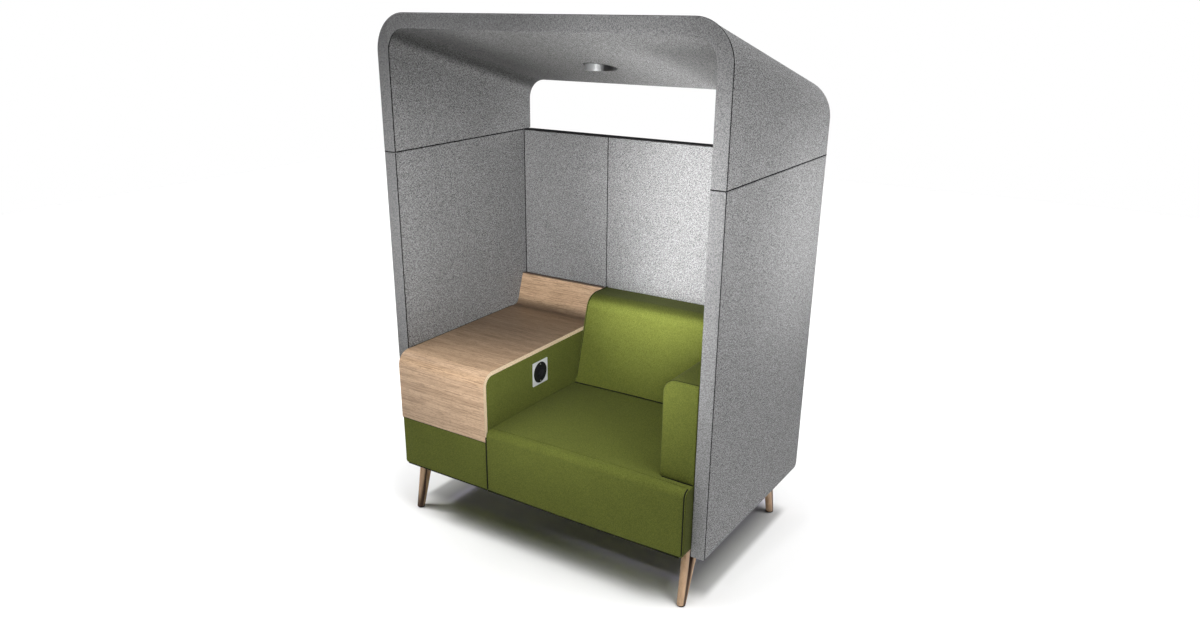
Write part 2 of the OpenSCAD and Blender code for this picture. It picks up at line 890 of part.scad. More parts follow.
module seat_webbing() {
    color([0.16, 0.16, 0.17]) {
        x_step = (frame_x1 - frame_x0 - rail_t) / strap_rows;
        y_step = (back_rail_y - frame_y0) / (strap_cross + 1);
        difference() {
            union() {
                for (k = [0 : strap_rows - 1]) {
                    x = frame_x0 + rail_t / 2 + (k + 0.5) * x_step;
                    block([x - strap_w / 2, frame_y0, frame_z1 + strap_t],
                          [x + strap_w / 2, back_rail_y + rail_t, strap_top]);
                }
                for (k = [1 : strap_cross]) {
                    y = frame_y0 + k * y_step;
                    block([frame_x0, y - strap_w / 2, frame_z1],
                          [frame_x1, y + strap_w / 2, frame_z1 + strap_t]);
                }
            }
            arm_bolt_bars(hole_fit);
            back_bolt_bars(hole_fit);
        }
    }
}

// Thin black cloth that closes the seat's underside, cut out round the leg plates
module seat_dust_cover() {
    color(black)
        difference() {
            block([frame_x0 + 4, frame_y0 + 4, block_z + 0.5], [frame_x1 - 4, block_rear_y - 4, frame_z0]);
            leg_plate_forms(2);
        }
}

// Backrest: a reclined wedge with a rolled top over a ply frame

back_x0 = seat_x0;
back_x1 = seat_x1 - arm_w - block_gap;
back_bottom = seat_h - seat_fall;
back_swell = 3;
back_draw = 5;
back_end = 14;
top_draw = 5;
back_z0 = strap_top + fit;

// Outline of the backrest set in by inset on its face and top, from height low up
module back_outline(inset, rear, low) {
    top = arm_h - 1 - inset * 0.7;
    r = back_roll_r - inset * 0.7;
    foot = back_foot_y + inset / cos(recline);
    roll_y = foot + (top - r - back_bottom) * tan(recline) + r / cos(recline);
    roll_z = top - r;
    roll = [for (i = [0 : swell_n])
        let (a = 180 - recline - i * (90 - recline) / swell_n)
        [roll_y + r * cos(a), roll_z + r * sin(a)]];
    polygon(concat([[rear, low], [foot, low], [foot, back_bottom]], roll, [[rear, top]]));
}

module back_frame_form(grow) {
    push_x(back_x0 + back_end - grow, back_x1 - back_end + grow)
        back_outline(back_pad - grow, block_rear_y - 2, back_z0 - 3 * grow);
}

module backrest_cushion() {
    face = swell(back_x0, back_x1, 0, back_swell, back_draw);
    top = swell(back_x0, back_x1, arm_h - 1, 1, top_draw);
    color(green_cloth)
        difference() {
            intersection() {
                push_x(back_x0, back_x1) back_outline(0, block_rear_y, back_z0);
                push_y(front_y, rear_y)
                    polygon(concat(top, [[back_x1, back_z0], [back_x0, back_z0]]));
                translate([0, back_foot_y, back_bottom]) rotate([-recline, 0, 0]) mirror([0, 1, 0])
                    push_z(-seat_h, arm_h)
                        polygon(concat(face, [[back_x1, -side_d], [back_x0, -side_d]]));
            }
            back_frame_form(fit);
        }
}

// Front, top and end boards round an open back
module back_frame() {
    color(board)
        difference() {
            back_frame_form(0);
            push_x(back_x0 + back_end + board_t, back_x1 - back_end - board_t)
                back_outline(back_pad + board_t, rear_y, back_z0 + board_t);
            back_bolt_bars(hole_fit);
        }
}

// Bolts up through the seat frame into the backrest's frame
bolt_d = 8;
back_bolt_l = 60;
back_bolt_side = 90;

module back_bolt_bars(grow) {
    top = back_z0 + board_t + 2;
    x0 = back_x0 + back_bolt_side;
    x1 = back_x1 - back_bolt_side;
    for (x = [x0, (x0 + x1) / 2, x1], y = [back_rail_y + rail_t / 2, block_rear_y - 2 - rail_t / 2])
        bar_z(top - back_bolt_l - grow, top + grow, x, y, bolt_d + 2 * grow);
}

module back_bolts() { color(steel) back_bolt_bars(0); }

// Arm: a padded upright block with one rounded upper edge

arm_x0 = seat_x1 - arm_w;
arm_front_y = panel_y + 2;
arm_sink = 8;
arm_z = seat_h - arm_sink;
arm_pad_t = 18;
arm_foot_r = 12;

module arm_outline() {
    rect(arm_x0, arm_z + arm_foot_r, seat_x1, arm_h - arm_r);
    rect(arm_x0 + arm_foot_r, arm_z, seat_x1, arm_h - arm_r);
    rect(arm_x0 + arm_r, arm_z, seat_x1, arm_h);
    translate([arm_x0 + arm_r, arm_h - arm_r]) circle(r = arm_r);
    translate([arm_x0 + arm_foot_r, arm_z + arm_foot_r]) circle(r = arm_foot_r);
}

module arm_frame_form(grow) {
    block([arm_x0 + arm_pad_t - grow, arm_front_y + arm_pad_t - grow, arm_z + arm_pad_t - grow],
          [seat_x1 - 10 + grow, block_rear_y - 10 + grow, arm_h - arm_r / 2 - grow + 2 * grow]);
}

module arm_pad() {
    color(green_cloth)
        difference() {
            intersection() {
                push_y(arm_front_y, block_rear_y) arm_outline();
                push_z(arm_z - 1, arm_h + 1) {
                    rect(arm_x0 + 8, arm_front_y, seat_x1, block_rear_y);
                    rect(arm_x0, arm_front_y + 8, seat_x1, block_rear_y);
                    translate([arm_x0 + 8, arm_front_y + 8]) circle(r = 8);
                }
                push_x(arm_x0, seat_x1) {
                    rect(arm_front_y + 10, arm_z, block_rear_y, arm_h);
                    rect(arm_front_y, arm_z, block_rear_y, arm_h - 10);
                    translate([arm_front_y + 10, arm_h - 10]) circle(r = 10);
                }
            }
            arm_frame_form(fit);
            arm_bolt_bars(hole_fit);
        }
}

module arm_frame() {
    color(board)
        difference() {
            arm_frame_form(0);
            block([arm_x0 + arm_pad_t + board_t, arm_front_y + arm_pad_t + board_t,
                   arm_z + arm_pad_t + board_t],
                  [seat_x1 - 10 - board_t, block_rear_y, arm_h - arm_r / 2 - board_t]);
            arm_bolt_bars(hole_fit);
        }
}

arm_bolt_end = 110;
arm_bolt_grip = 50;

module arm_bolt_bars(grow) {
    top = arm_z + arm_pad_t + board_t / 2;
    y0 = arm_front_y + arm_bolt_end;
    y1 = block_rear_y - arm_bolt_end;
    for (y = [y0, (y0 + y1) / 2, y1])
        bar_z(frame_z1 - arm_bolt_grip - grow, top + grow, frame_x1 - rail_t / 2, y, bolt_d + 2 * grow);
}

module arm_bolts() { color(steel) arm_bolt_bars(0); }

// Bolts that draw the table block and the seat block together
bolt_out = 6;
nut_t = 5;
block_bolt_z = frame_z0 + frame_h / 2;
block_bolt_ys = [frame_y0 + 80, back_rail_y - 120];
block_bolt_x0 = table_x1 - block_pad - board_t - bolt_out;
block_bolt_x1 = frame_x0 + rail_t + bolt_out;

module block_bolt_bars(grow) {
    for (y = block_bolt_ys)
        bar_x(block_bolt_x0 - grow, block_bolt_x1 + grow, y, block_bolt_z, bolt_d + 2 * grow);
}

module block_bolts() {
    color(steel) {
        block_bolt_bars(0);
        for (y = block_bolt_ys) {
            bar_x(block_bolt_x0 - nut_t, block_bolt_x0, y, block_bolt_z, 2 * bolt_d);
            bar_x(block_bolt_x1, block_bolt_x1 + nut_t, y, block_bolt_z, 2 * bolt_d);
        }
    }
}

// Bolts from the blocks into the boards of the side panels
panel_bolt_z = frame_z0 + 90;
panel_bolt_ys = [frame_y0 + 110, back_rail_y + 90];

module panel_bolt_bars(grow) {
    reach = inner_x + pad_t + core_t / 2;
    for (y = panel_bolt_ys) {
        bar_x(frame_x1 - rail_t - bolt_out - grow, reach + grow, y, panel_bolt_z, bolt_d + 2 * grow);
        bar_x(-reach - grow, table_x0 + block_pad + board_t + bolt_out + grow, y, panel_bolt_z,
              bolt_d + 2 * grow);
    }
}

module panel_bolts() { color(steel) panel_bolt_bars(0); }

// Legs: two turned prongs that share one foot, on a steel plate

foot_x = half_w - foot_side;
foot_y_front = panel_y - foot_front;
foot_y_rear = rear_y - foot_rear;
leg_bottom = glide_t + fit;
leg_top = frame_z0 - leg_plate_t;
insert_wall = 2.5;
insert_l = 26;
stem_l = 26;
leg_plate_w = 76;
leg_plate_l = 120;
screw_d = 5;
screw_l = 19;

// Corner of the booth: side is -1 left or 1 right, back is 1 at the front and -1 at the rear
module at_foot(side, back) {
    y = back > 0 ? foot_y_front : foot_y_rear;
    translate([side * foot_x, y, 0]) mirror([side > 0 ? 1 : 0, 0, 0]) mirror([0, back > 0 ? 0 : 1, 0])
        children();
}

// Round bar between two points, turned about its own length by turn
module prong(a, b, turn) {
    v = b - a;
    len = norm(v);
    translate(a) rotate([0, acos(v[2] / len), atan2(v[1], v[0])]) rotate([0, 0, turn])
        cylinder(d = prong_d, h = len);
}

// One leg with its foot's centre on the origin. Its first prong leans back and inward,
// its second further back and outward, in one slanted plane
module leg_form() {
    over = 30;
    rise = leg_top - leg_bottom;
    near_lean = [prong_in, prong_near, rise] / rise;
    far_lean = [-prong_out, prong_far, rise] / rise;
    apart = prong_gap / 2 * (far_lean - near_lean) / norm(far_lean - near_lean);
    near_foot = [0, 0, leg_bottom] - apart;
    far_foot = [0, 0, leg_bottom] + apart;
    difference() {
        intersection() {
            union() {
                prong(near_foot - over * near_lean, near_foot + (rise + over) * near_lean, 215);
                prong(far_foot - over * far_lean, far_foot + (rise + over) * far_lean, -35);
            }
            push_z(leg_bottom, leg_top) square(far, center = true);
        }
        translate([0, 0, leg_bottom - 1])
            cylinder(d = stem_d + 2 * insert_wall + 2 * hole_fit, h = insert_l + 4);
    }
}

module leg_front_left() { color(oak) at_foot(-1, 1) leg_form(); }
module leg_front_right() { color(oak) at_foot(1, 1) leg_form(); }
module leg_rear_left() { color(oak) at_foot(-1, -1) leg_form(); }
module leg_rear_right() { color(oak) at_foot(1, -1) leg_form(); }

// Corner of a leg plate, seen from its foot, and its nearer screws, clear of the prongs
plate_x0 = -7;
plate_y0 = prong_near - prong_gap / 2 - prong_d / 2 - 6;
plate_screw_near = 46;
plate_screw_edge = 10;

// Footprint of a leg plate, grown by grow
module leg_plate_outline(grow) {
    round_rect(plate_x0 - grow, plate_y0 - grow,
               plate_x0 + leg_plate_w + grow, plate_y0 + leg_plate_l + grow, 6 + grow);
}

module leg_plate_forms(grow) {
    for (side = [-1, 1], back = [-1, 1])
        at_foot(side, back) push_z(leg_top - grow, frame_z0 + grow) leg_plate_outline(grow);
}

module on_plate_screws() {
    for (x = [plate_x0 + plate_screw_near, plate_x0 + leg_plate_w - plate_screw_edge],
         y = [plate_y0 + plate_screw_edge, plate_y0 + leg_plate_l - plate_screw_edge])
        translate([x, y, 0]) children();
}

module plate_screw_bars(grow) {
    for (side = [-1, 1], back = [-1, 1])
        at_foot(side, back) on_plate_screws()
            translate([0, 0, leg_top - grow]) cylinder(d = screw_d + 2 * grow, h = screw_l + 2 * grow);
}

module leg_plates() {
    color(black)
        difference() {
            leg_plate_forms(0);
            plate_screw_bars(hole_fit);
        }
}

module plate_screws() {
    color(steel) {
        plate_screw_bars(0);
        for (side = [-1, 1], back = [-1, 1])
            at_foot(side, back) on_plate_screws()
                translate([0, 0, leg_top - 2.5]) cylinder(d = 2 * screw_d, h = 2.5);
    }
}

// Threaded steel sleeves in the feet
module leg_inserts() {
    color(steel)
        for (side = [-1, 1], back = [-1, 1])
            at_foot(side, back)
                translate([0, 0, leg_bottom])
                    difference() {
                        cylinder(d = stem_d + 2 * insert_wall, h = insert_l);
                        translate([0, 0, -1]) cylinder(d = stem_d + 2 * run_fit, h = insert_l + 2);
                    }
}

// Black glide: a round pad with a soft lower edge on a threaded stem
module glide_form() {
    r = glide_d / 2;
    rotate_extrude()
        polygon([[0, 0], [r - 1.5, 0], [r, 1.5], [r, glide_t - 1], [r - 1, glide_t],
                 [stem_d / 2, glide_t], [stem_d / 2, glide_t + stem_l - 1],
                 [stem_d / 2 - 1, glide_t + stem_l], [0, glide_t + stem_l]]);
}

module glide_front_left() { color(black) at_foot(-1, 1) glide_form(); }
module glide_front_right() { color(black) at_foot(1, 1) glide_form(); }
module glide_rear_left() { color(black) at_foot(-1, -1) glide_form(); }
module glide_rear_right() { color(black) at_foot(1, -1) glide_form(); }

left_panel_core();
left_panel_cover();
right_panel_core();
right_panel_cover();
rear_narrow_core();
rear_narrow_cover();
rear_wide_core();
rear_wide_cover();
rear_cap_rail();
rear_dowels();
joint_strips();
canopy_core();
canopy_cover();
canopy_lining();
canopy_pins();
light_can();
light_rim();
light_pivot_pins();
light_ring();
light_reflector();
light_lens();
light_heat_sink();
table_carcass();
table_cover();
table_top();
table_screws();
socket_plate();
socket_insert();
socket_box();
socket_screws();
seat_frame();
seat_webbing();
seat_cushion();
seat_dust_cover();
back_frame();
backrest_cushion();
back_bolts();
arm_frame();
arm_pad();
arm_bolts();
block_bolts();
panel_bolts();
leg_front_left();
leg_front_right();
leg_rear_left();
leg_rear_right();
leg_plates();
plate_screws();
leg_inserts();
glide_front_left();
glide_front_right();
glide_rear_left();
glide_rear_right();
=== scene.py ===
"""Canopy booth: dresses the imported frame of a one-person upholstered booth.

Grey cloth screens and a hooded canopy stand round a green seat and a bent-plywood
laptop table. Everything is in metres, in the frame of the solids: X to the right,
Y to the back, Z up.
"""

from __future__ import annotations

import json
import logging
import math
from dataclasses import dataclass, field
from enum import Enum
from functools import cached_property
from typing import Any, Callable, Optional, Sequence, Union

import bmesh
import bpy
import numpy as np
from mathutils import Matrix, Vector

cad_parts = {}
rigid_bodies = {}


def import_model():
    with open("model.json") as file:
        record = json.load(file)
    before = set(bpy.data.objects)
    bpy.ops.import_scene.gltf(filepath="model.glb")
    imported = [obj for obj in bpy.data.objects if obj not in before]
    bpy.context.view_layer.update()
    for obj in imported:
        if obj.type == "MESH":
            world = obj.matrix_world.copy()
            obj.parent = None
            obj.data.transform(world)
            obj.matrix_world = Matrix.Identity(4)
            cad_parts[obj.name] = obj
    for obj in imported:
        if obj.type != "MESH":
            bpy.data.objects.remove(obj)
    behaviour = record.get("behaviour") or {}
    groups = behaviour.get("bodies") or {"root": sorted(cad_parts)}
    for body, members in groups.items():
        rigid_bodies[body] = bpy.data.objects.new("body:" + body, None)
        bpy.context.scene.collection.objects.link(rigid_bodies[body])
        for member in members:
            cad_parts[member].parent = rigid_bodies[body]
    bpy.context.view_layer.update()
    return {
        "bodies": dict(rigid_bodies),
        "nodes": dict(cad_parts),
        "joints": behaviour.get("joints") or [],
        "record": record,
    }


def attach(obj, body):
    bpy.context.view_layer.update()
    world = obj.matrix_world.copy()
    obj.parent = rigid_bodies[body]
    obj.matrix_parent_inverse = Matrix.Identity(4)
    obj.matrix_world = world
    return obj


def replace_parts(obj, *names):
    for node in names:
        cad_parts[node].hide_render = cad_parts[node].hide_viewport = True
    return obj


log = logging.getLogger("booth")

Point = tuple[float, float, float]
Colour = tuple[float, float, float]
Corner = tuple[float, float, float]
Number = Union[float, "Value"]
Span = tuple[float, float]
Level = Union[float, np.ndarray]
Shaper = Callable[[np.ndarray], np.ndarray]
Socket = bpy.types.NodeSocket


class Side(Enum):
    """Left or right side of the booth, as the sign of X."""

    LEFT = -1
    RIGHT = 1


class Axis(Enum):
    """Axis along which an outline is drawn out, as the column it fills."""

    X = 0
    Y = 1


@dataclass(frozen=True)
class BoothSizes:
    """Main lines of the booth, in metres, as in the solids."""

    half_w: float = 0.700
    panel_t: float = 0.052
    rear_t: float = 0.050
    front_y: float = -0.455
    panel_y: float = -0.397
    rear_y: float = 0.455
    floor_gap: float = 0.207
    seam_z: float = 1.490
    joint_gap: float = 0.004
    front_h: float = 1.978
    rear_h: float = 1.750
    corner_r: float = 0.130
    split_x: float = -0.2135
    block_gap: float = 0.0015
    block_z: float = 0.224
    seam_back: float = 0.0045
    corner_fade: float = 0.04

    @property
    def inner_x(self) -> float:
        """Half the clear width between the side panels."""
        return self.half_w - self.panel_t

    @property
    def rear_face_y(self) -> float:
        """Front face of the back panels."""
        return self.rear_y - self.rear_t

    @property
    def block_rear_y(self) -> float:
        """Back face of the seat and the table."""
        return self.rear_face_y - self.block_gap

    @property
    def slope(self) -> float:
        """Fall of the roof to the back, in radians."""
        return math.atan((self.front_h - self.rear_h) / (self.rear_y - self.panel_y))


SIZES = BoothSizes()


def fill(tree: bpy.types.NodeTree, node: bpy.types.Node, inputs: dict[Any, Any]) -> None:
    """Gives a node's inputs their values or their links.

    Args:
        tree: the tree that holds the node.
        node: the node.
        inputs: numbers, colours, sockets or Values by input name or number.
    """
    for key, value in inputs.items():
        target = node.inputs[key]
        source = value.socket if isinstance(value, Value) else value
        if isinstance(source, Socket):
            tree.links.new(source, target)
        elif target.type == "RGBA" and len(source) == 3:
            target.default_value = (*source, 1.0)
        else:
            target.default_value = source


def operator(kind: str, swap: bool = False) -> Callable[..., "Value"]:
    """Makes a method of Value that adds one Math node.

    Args:
        kind: the Math node's operation.
        swap: puts the value itself second.

    Returns:
        The method.
    """

    def method(self: "Value", *others: Number) -> "Value":
        """Adds the node to the value's material and gives its result."""
        items = (*others, self) if swap else (self, *others)
        node = self.surface.node("ShaderNodeMath", {"operation": kind}, dict(enumerate(items)))
        return Value(self.surface, node.outputs[0])

    return method


class Value:
    """A number that varies over a surface, so that shader maths reads as Python."""

    def __init__(self, surface: "Surface", socket: Socket) -> None:
        """Wraps an output socket.

        Args:
            surface: the material being built.
            socket: the output socket that gives the number.
        """
        self.surface = surface
        self.socket = socket

    __add__ = __radd__ = operator("ADD")
    __sub__ = operator("SUBTRACT")
    __rsub__ = operator("SUBTRACT", swap=True)
    __mul__ = __rmul__ = operator("MULTIPLY")
    __abs__ = operator("ABSOLUTE")
    sin = operator("SINE")
    sqrt = operator("SQRT")
    high = operator("MAXIMUM")
    over = operator("GREATER_THAN")
    under = operator("LESS_THAN")

    def ramp(self, start: float, end: float) -> "Value":
        """Rises smoothly from 0 at start to 1 at end.

        Args:
            start: where the rise begins.
            end: where the rise ends.

        Returns:
            The smoothed value.
        """
        node = self.surface.node(
            "ShaderNodeMapRange",
            {"interpolation_type": "SMOOTHSTEP"},
            {"Value": self, "From Min": start, "From Max": end},
        )
        return Value(self.surface, node.outputs[0])


class Surface:
    """Builds one material around a Principled shader."""

    def __init__(self, name: str) -> None:
        """Starts an empty node material.

        Args:
            name: the material's name.
        """
        self.material = bpy.data.materials.new(name)
        self.material.use_nodes = True
        self.tree = self.material.node_tree
        self.tree.nodes.clear()
        self.shader = self.node("ShaderNodeBsdfPrincipled")
        self.node("ShaderNodeOutputMaterial", None, {0: self.shader.outputs[0]})
        self.place = self.node("ShaderNodeTexCoord").outputs["Object"]

    def node(
        self,
        kind: str,
        settings: Optional[dict[str, Any]] = None,
        inputs: Optional[dict[Any, Any]] = None,
    ) -> bpy.types.Node:
        """Adds a node.

        Args:
            kind: the node's type.
            settings: attributes set before the inputs.
            inputs: numbers, colours, sockets or Values by input name or number.

        Returns:
            The new node.
        """
        node = self.tree.nodes.new(kind)
        for key, value in (settings or {}).items():
            setattr(node, key, value)
        fill(self.tree, node, inputs or {})
        return node

    def split(self, vector: Socket) -> list[Value]:
        """The three parts of a vector."""
        parts = self.node("ShaderNodeSeparateXYZ", None, {0: vector}).outputs
        return [Value(self, part) for part in parts]

    @cached_property
    def axes(self) -> list[Value]:
        """Object coordinates."""
        return self.split(self.place)

    @cached_property
    def outward(self) -> list[Value]:
        """The surface's outward direction."""
        return self.split(self.node("ShaderNodeNewGeometry").outputs["Normal"])

    def noise(
        self,
        scale: Union[float, Point],
        detail: float = 2.0,
        rough: float = 0.5,
        turn: Point = (0.0, 0.0, 0.0),
    ) -> Value:
        """Smooth random value around 0.5.

        Args:
            scale: repeats per metre, one number or one each along X, Y and Z.
            detail: number of finer layers.
            rough: strength of the finer layers.
            turn: with three scales, rotation in radians before them.

        Returns:
            The noise value.
        """
        where, size = self.place, scale
        if isinstance(scale, tuple):
            inputs = {"Vector": self.place, "Rotation": turn, "Scale": scale}
            where = self.node("ShaderNodeMapping", {"vector_type": "POINT"}, inputs).outputs[0]
            size = 1.0
        inputs = {"Vector": where, "Scale": size, "Detail": detail, "Roughness": rough}
        return Value(self, self.node("ShaderNodeTexNoise", None, inputs).outputs[0])

    def mix(self, factor: Number, first: Any, second: Any) -> Socket:
        """Blends two colours.

        Args:
            factor: 0 gives the first, 1 the second.
            first: a colour or colour socket.
            second: a colour or colour socket.

        Returns:
            The colour socket.
        """
        inputs = {0: factor, 6: first, 7: second}
        return self.node("ShaderNodeMix", {"data_type": "RGBA"}, inputs).outputs[2]

    def shade(self, colour: Socket, factor: Value) -> Socket:
        """Multiplies a colour by a value."""
        inputs = {0: colour, "Scale": factor}
        return self.node("ShaderNodeVectorMath", {"operation": "SCALE"}, inputs).outputs[0]

    def bump(self, height: Value, depth: float, strength: float = 1.0) -> None:
        """Gives the surface a relief.

        Args:
            height: relief from 0 to 1.
            depth: height of the full relief in metres.
            strength: how strongly it shades.
        """
        inputs = {"Height": height, "Distance": depth, "Strength": strength}
        node = self.node("ShaderNodeBump", None, inputs)
        self.tree.links.new(node.outputs[0], self.shader.inputs["Normal"])

    def finish(self, **inputs: Any) -> bpy.types.Material:
        """Fills the shader's sockets.

        Args:
            inputs: values by socket name, with underscores for spaces.

        Returns:
            The finished material.
        """
        fill(self.tree, self.shader, {key.replace("_", " "): inputs[key] for key in inputs})
        return self.material


@dataclass(frozen=True)
class Cloth:
    """Woven upholstery cloth of mottled yarns, the same wherever it lies."""

    name: str
    colour: Colour
    mottle: float = 0.35
    sheen: float = 0.05
    gloss: float = 0.15
    yarn: float = 0.0022
    relief: float = 0.0004
    speck_scale: Point = (540.0, 540.0, 540.0)
    speck_turn: Point = (0.5, 0.4, 0.6)
    melange_scale: Point = (290.0, 290.0, 290.0)
    melange_turn: Point = (0.6, 0.5, 0.4)

    def tint(self, factor: float) -> Colour:
        """The cloth's colour made lighter or darker."""
        return tuple(min(1.0, c * factor) for c in self.colour)  # type: ignore[return-value]

    def grain(self, s: Surface, mixed: Value, speck: Value) -> Value:
        """How light the yarns are.

        Args:
            s: the material being built; not used here.
            mixed: blend of fine and coarse yarns.
            speck: the fine yarns alone; not used here.

        Returns:
            0 for dark yarns, 1 for light ones.
        """
        return mixed.ramp(0.42, 0.58)

    def shaded(self, s: Surface, colour: Socket, shade: Value) -> Socket:
        """The cloth's colour under its shade.

        Args:
            s: the material being built.
            colour: the yarns' colour.
            shade: slow unevenness around 1.

        Returns:
            The colour socket.
        """
        return s.shade(colour, shade)

    def material(self) -> bpy.types.Material:
        """Builds the cloth's material."""
        s = Surface(self.name)
        waves = [(axis * (math.pi / self.yarn)).sin() for axis in s.axes]
        weave = waves[0] * waves[1] + waves[1] * waves[2] + waves[2] * waves[0]
        speck = s.noise(self.speck_scale, 1.0, 0.6, self.speck_turn)
        melange = s.noise(self.melange_scale, 1.0, 0.6, self.melange_turn)
        grain = self.grain(s, melange * 0.5 + speck * 0.5, speck)
        colour = s.mix(grain, self.tint(1 - self.mottle), self.tint(1 + self.mottle))
        colour = self.shaded(s, colour, 0.94 + s.noise(9.0) * 0.12)
        s.bump(weave * 0.15 + speck * 0.65 + melange * 0.2, self.relief, 0.6)
        return s.finish(
            Base_Color=colour,
            Roughness=0.86 + speck * 0.1,
            Sheen_Weight=self.sheen,
            Sheen_Roughness=0.45,
            Specular_IOR_Level=self.gloss,
        )


@dataclass(frozen=True)
class ScreenCloth(Cloth):
    """Cloth of the screens and the hood, with painted shade on the ceiling, and painted shade and
    light on the front edges.
    """

    front_y: float = SIZES.panel_y + 0.002
    rear_y: float = SIZES.rear_face_y - 0.001
    left_edge_x: float = -SIZES.inner_x + 0.004
    inner_x: float = SIZES.inner_x + 0.001
    calm_front: float = 0.5
    calm_rear: float = 0.25
    lining_scale: Point = (151.0, 40.0, 151.0)
    lining_turn: Point = (0.0, 0.0, 0.03)
    lining_share: float = 0.15
    arc_dark: float = 0.28
    left_dark: float = 0.55
    far_dark: float = 0.43
    edge_dark: float = 0.24

    def ceiling(self, s: Surface) -> tuple[Value, Value]:
        """1 between the side panels, else 0, and how far the cloth faces down."""
        x = s.axes[0]
        return (x * x).under(self.inner_x**2), -1.0 * s.outward[2]

    def grain(self, s: Surface, mixed: Value, speck: Value) -> Value:
        """The yarns, coarser on the ceiling and calmer on the front edges and the back.

        Args:
            s: the material being built.
            mixed: blend of fine and coarse yarns.
            speck: the fine yarns alone.

        Returns:
            0 for dark yarns, 1 for light ones.
        """
        y = s.axes[1]
        inside, down = self.ceiling(s)
        coarse = s.noise(self.lining_scale, 1.0, 0.6, self.lining_turn)
        lining = inside * down.over(0.9) * self.lining_share
        mixed = mixed * (1.0 - lining) + (coarse * 0.75 + speck * 0.25) * lining
        grain = super().grain(s, mixed, speck)
        for calm in (y.over(self.rear_y) * self.calm_rear, y.under(self.front_y) * self.calm_front):
            grain = 0.5 + (grain - 0.5) * (1.0 - calm)
        return grain

    def shaded(self, s: Surface, colour: Socket, shade: Value) -> Socket:
        """Paints shade on the ceiling's ends and the front edges, and paints light on the edges'
        lower part.

        Args:
            s: the material being built.
            colour: the yarns' colour.
            shade: slow unevenness around 1.

        Returns:
            The colour socket.
        """
        x, y, z = s.axes
        inside, down = self.ceiling(s)
        # Painted shade on the ceiling's left corner, its left part and its right part away from the
        # front, and on the left front edge; the other front edges get painted shade high up and
        # painted light low down.
        roof = inside * down.ramp(0.30, 0.75)
        arc = inside * down.ramp(0.35, 0.72) * (1.0 - down.ramp(0.78, 1.0)) * x.under(-0.5)
        band = y.under(self.front_y)
        rising = (z.ramp(0.50, 1.20) * 0.40 - 0.28) * x.over(self.left_edge_x)
        for dark in (
            arc * self.arc_dark,
            roof * x.ramp(-0.22, -0.52) * self.left_dark,
            roof * (x.ramp(0.20, 0.38) * y.ramp(-0.36, -0.14) * self.far_dark),
            band * x.under(self.left_edge_x) * self.edge_dark,
            band * rising,
        ):
            shade = shade * (1.0 - dark)
        return s.shade(colour, shade)


@dataclass(frozen=True)
class SeatCloth(Cloth):
    """Cloth of the seat and the block, with painted shade on its right end, and a painted highlight
    and painted shade on the backrest's roll.
    """

    end_x: float = SIZES.inner_x - 0.012
    end_dark: float = 0.45
    crest_light: float = 0.30
    crest_dark: float = 0.40

    def shaded(self, s: Surface, colour: Socket, shade: Value) -> Socket:
        """Paints shade on the right end and the roll's top, and a highlight on the roll's front.

        Args:
            s: the material being built.
            colour: the yarns' colour.
            shade: slow unevenness around 1.

        Returns:
            The colour socket.
        """
        x, y, z = s.axes
        nx, _, nz = s.outward
        # Painted shade on the right-facing end; over the backrest's roll, a painted highlight on
        # its front and painted shade on its top.
        shade = shade * (1.0 - nx.over(0.6) * x.over(self.end_x) * self.end_dark)
        crest = z.ramp(0.66, 0.81) * y.over(0.2)
        front = nz.ramp(0.05, 0.40) * (1.0 - nz.ramp(0.52, 0.80))
        shade = shade * (1.0 + crest * front * self.crest_light)
        return s.shade(colour, shade * (1.0 - crest * nz.ramp(0.66, 0.92) * self.crest_dark))


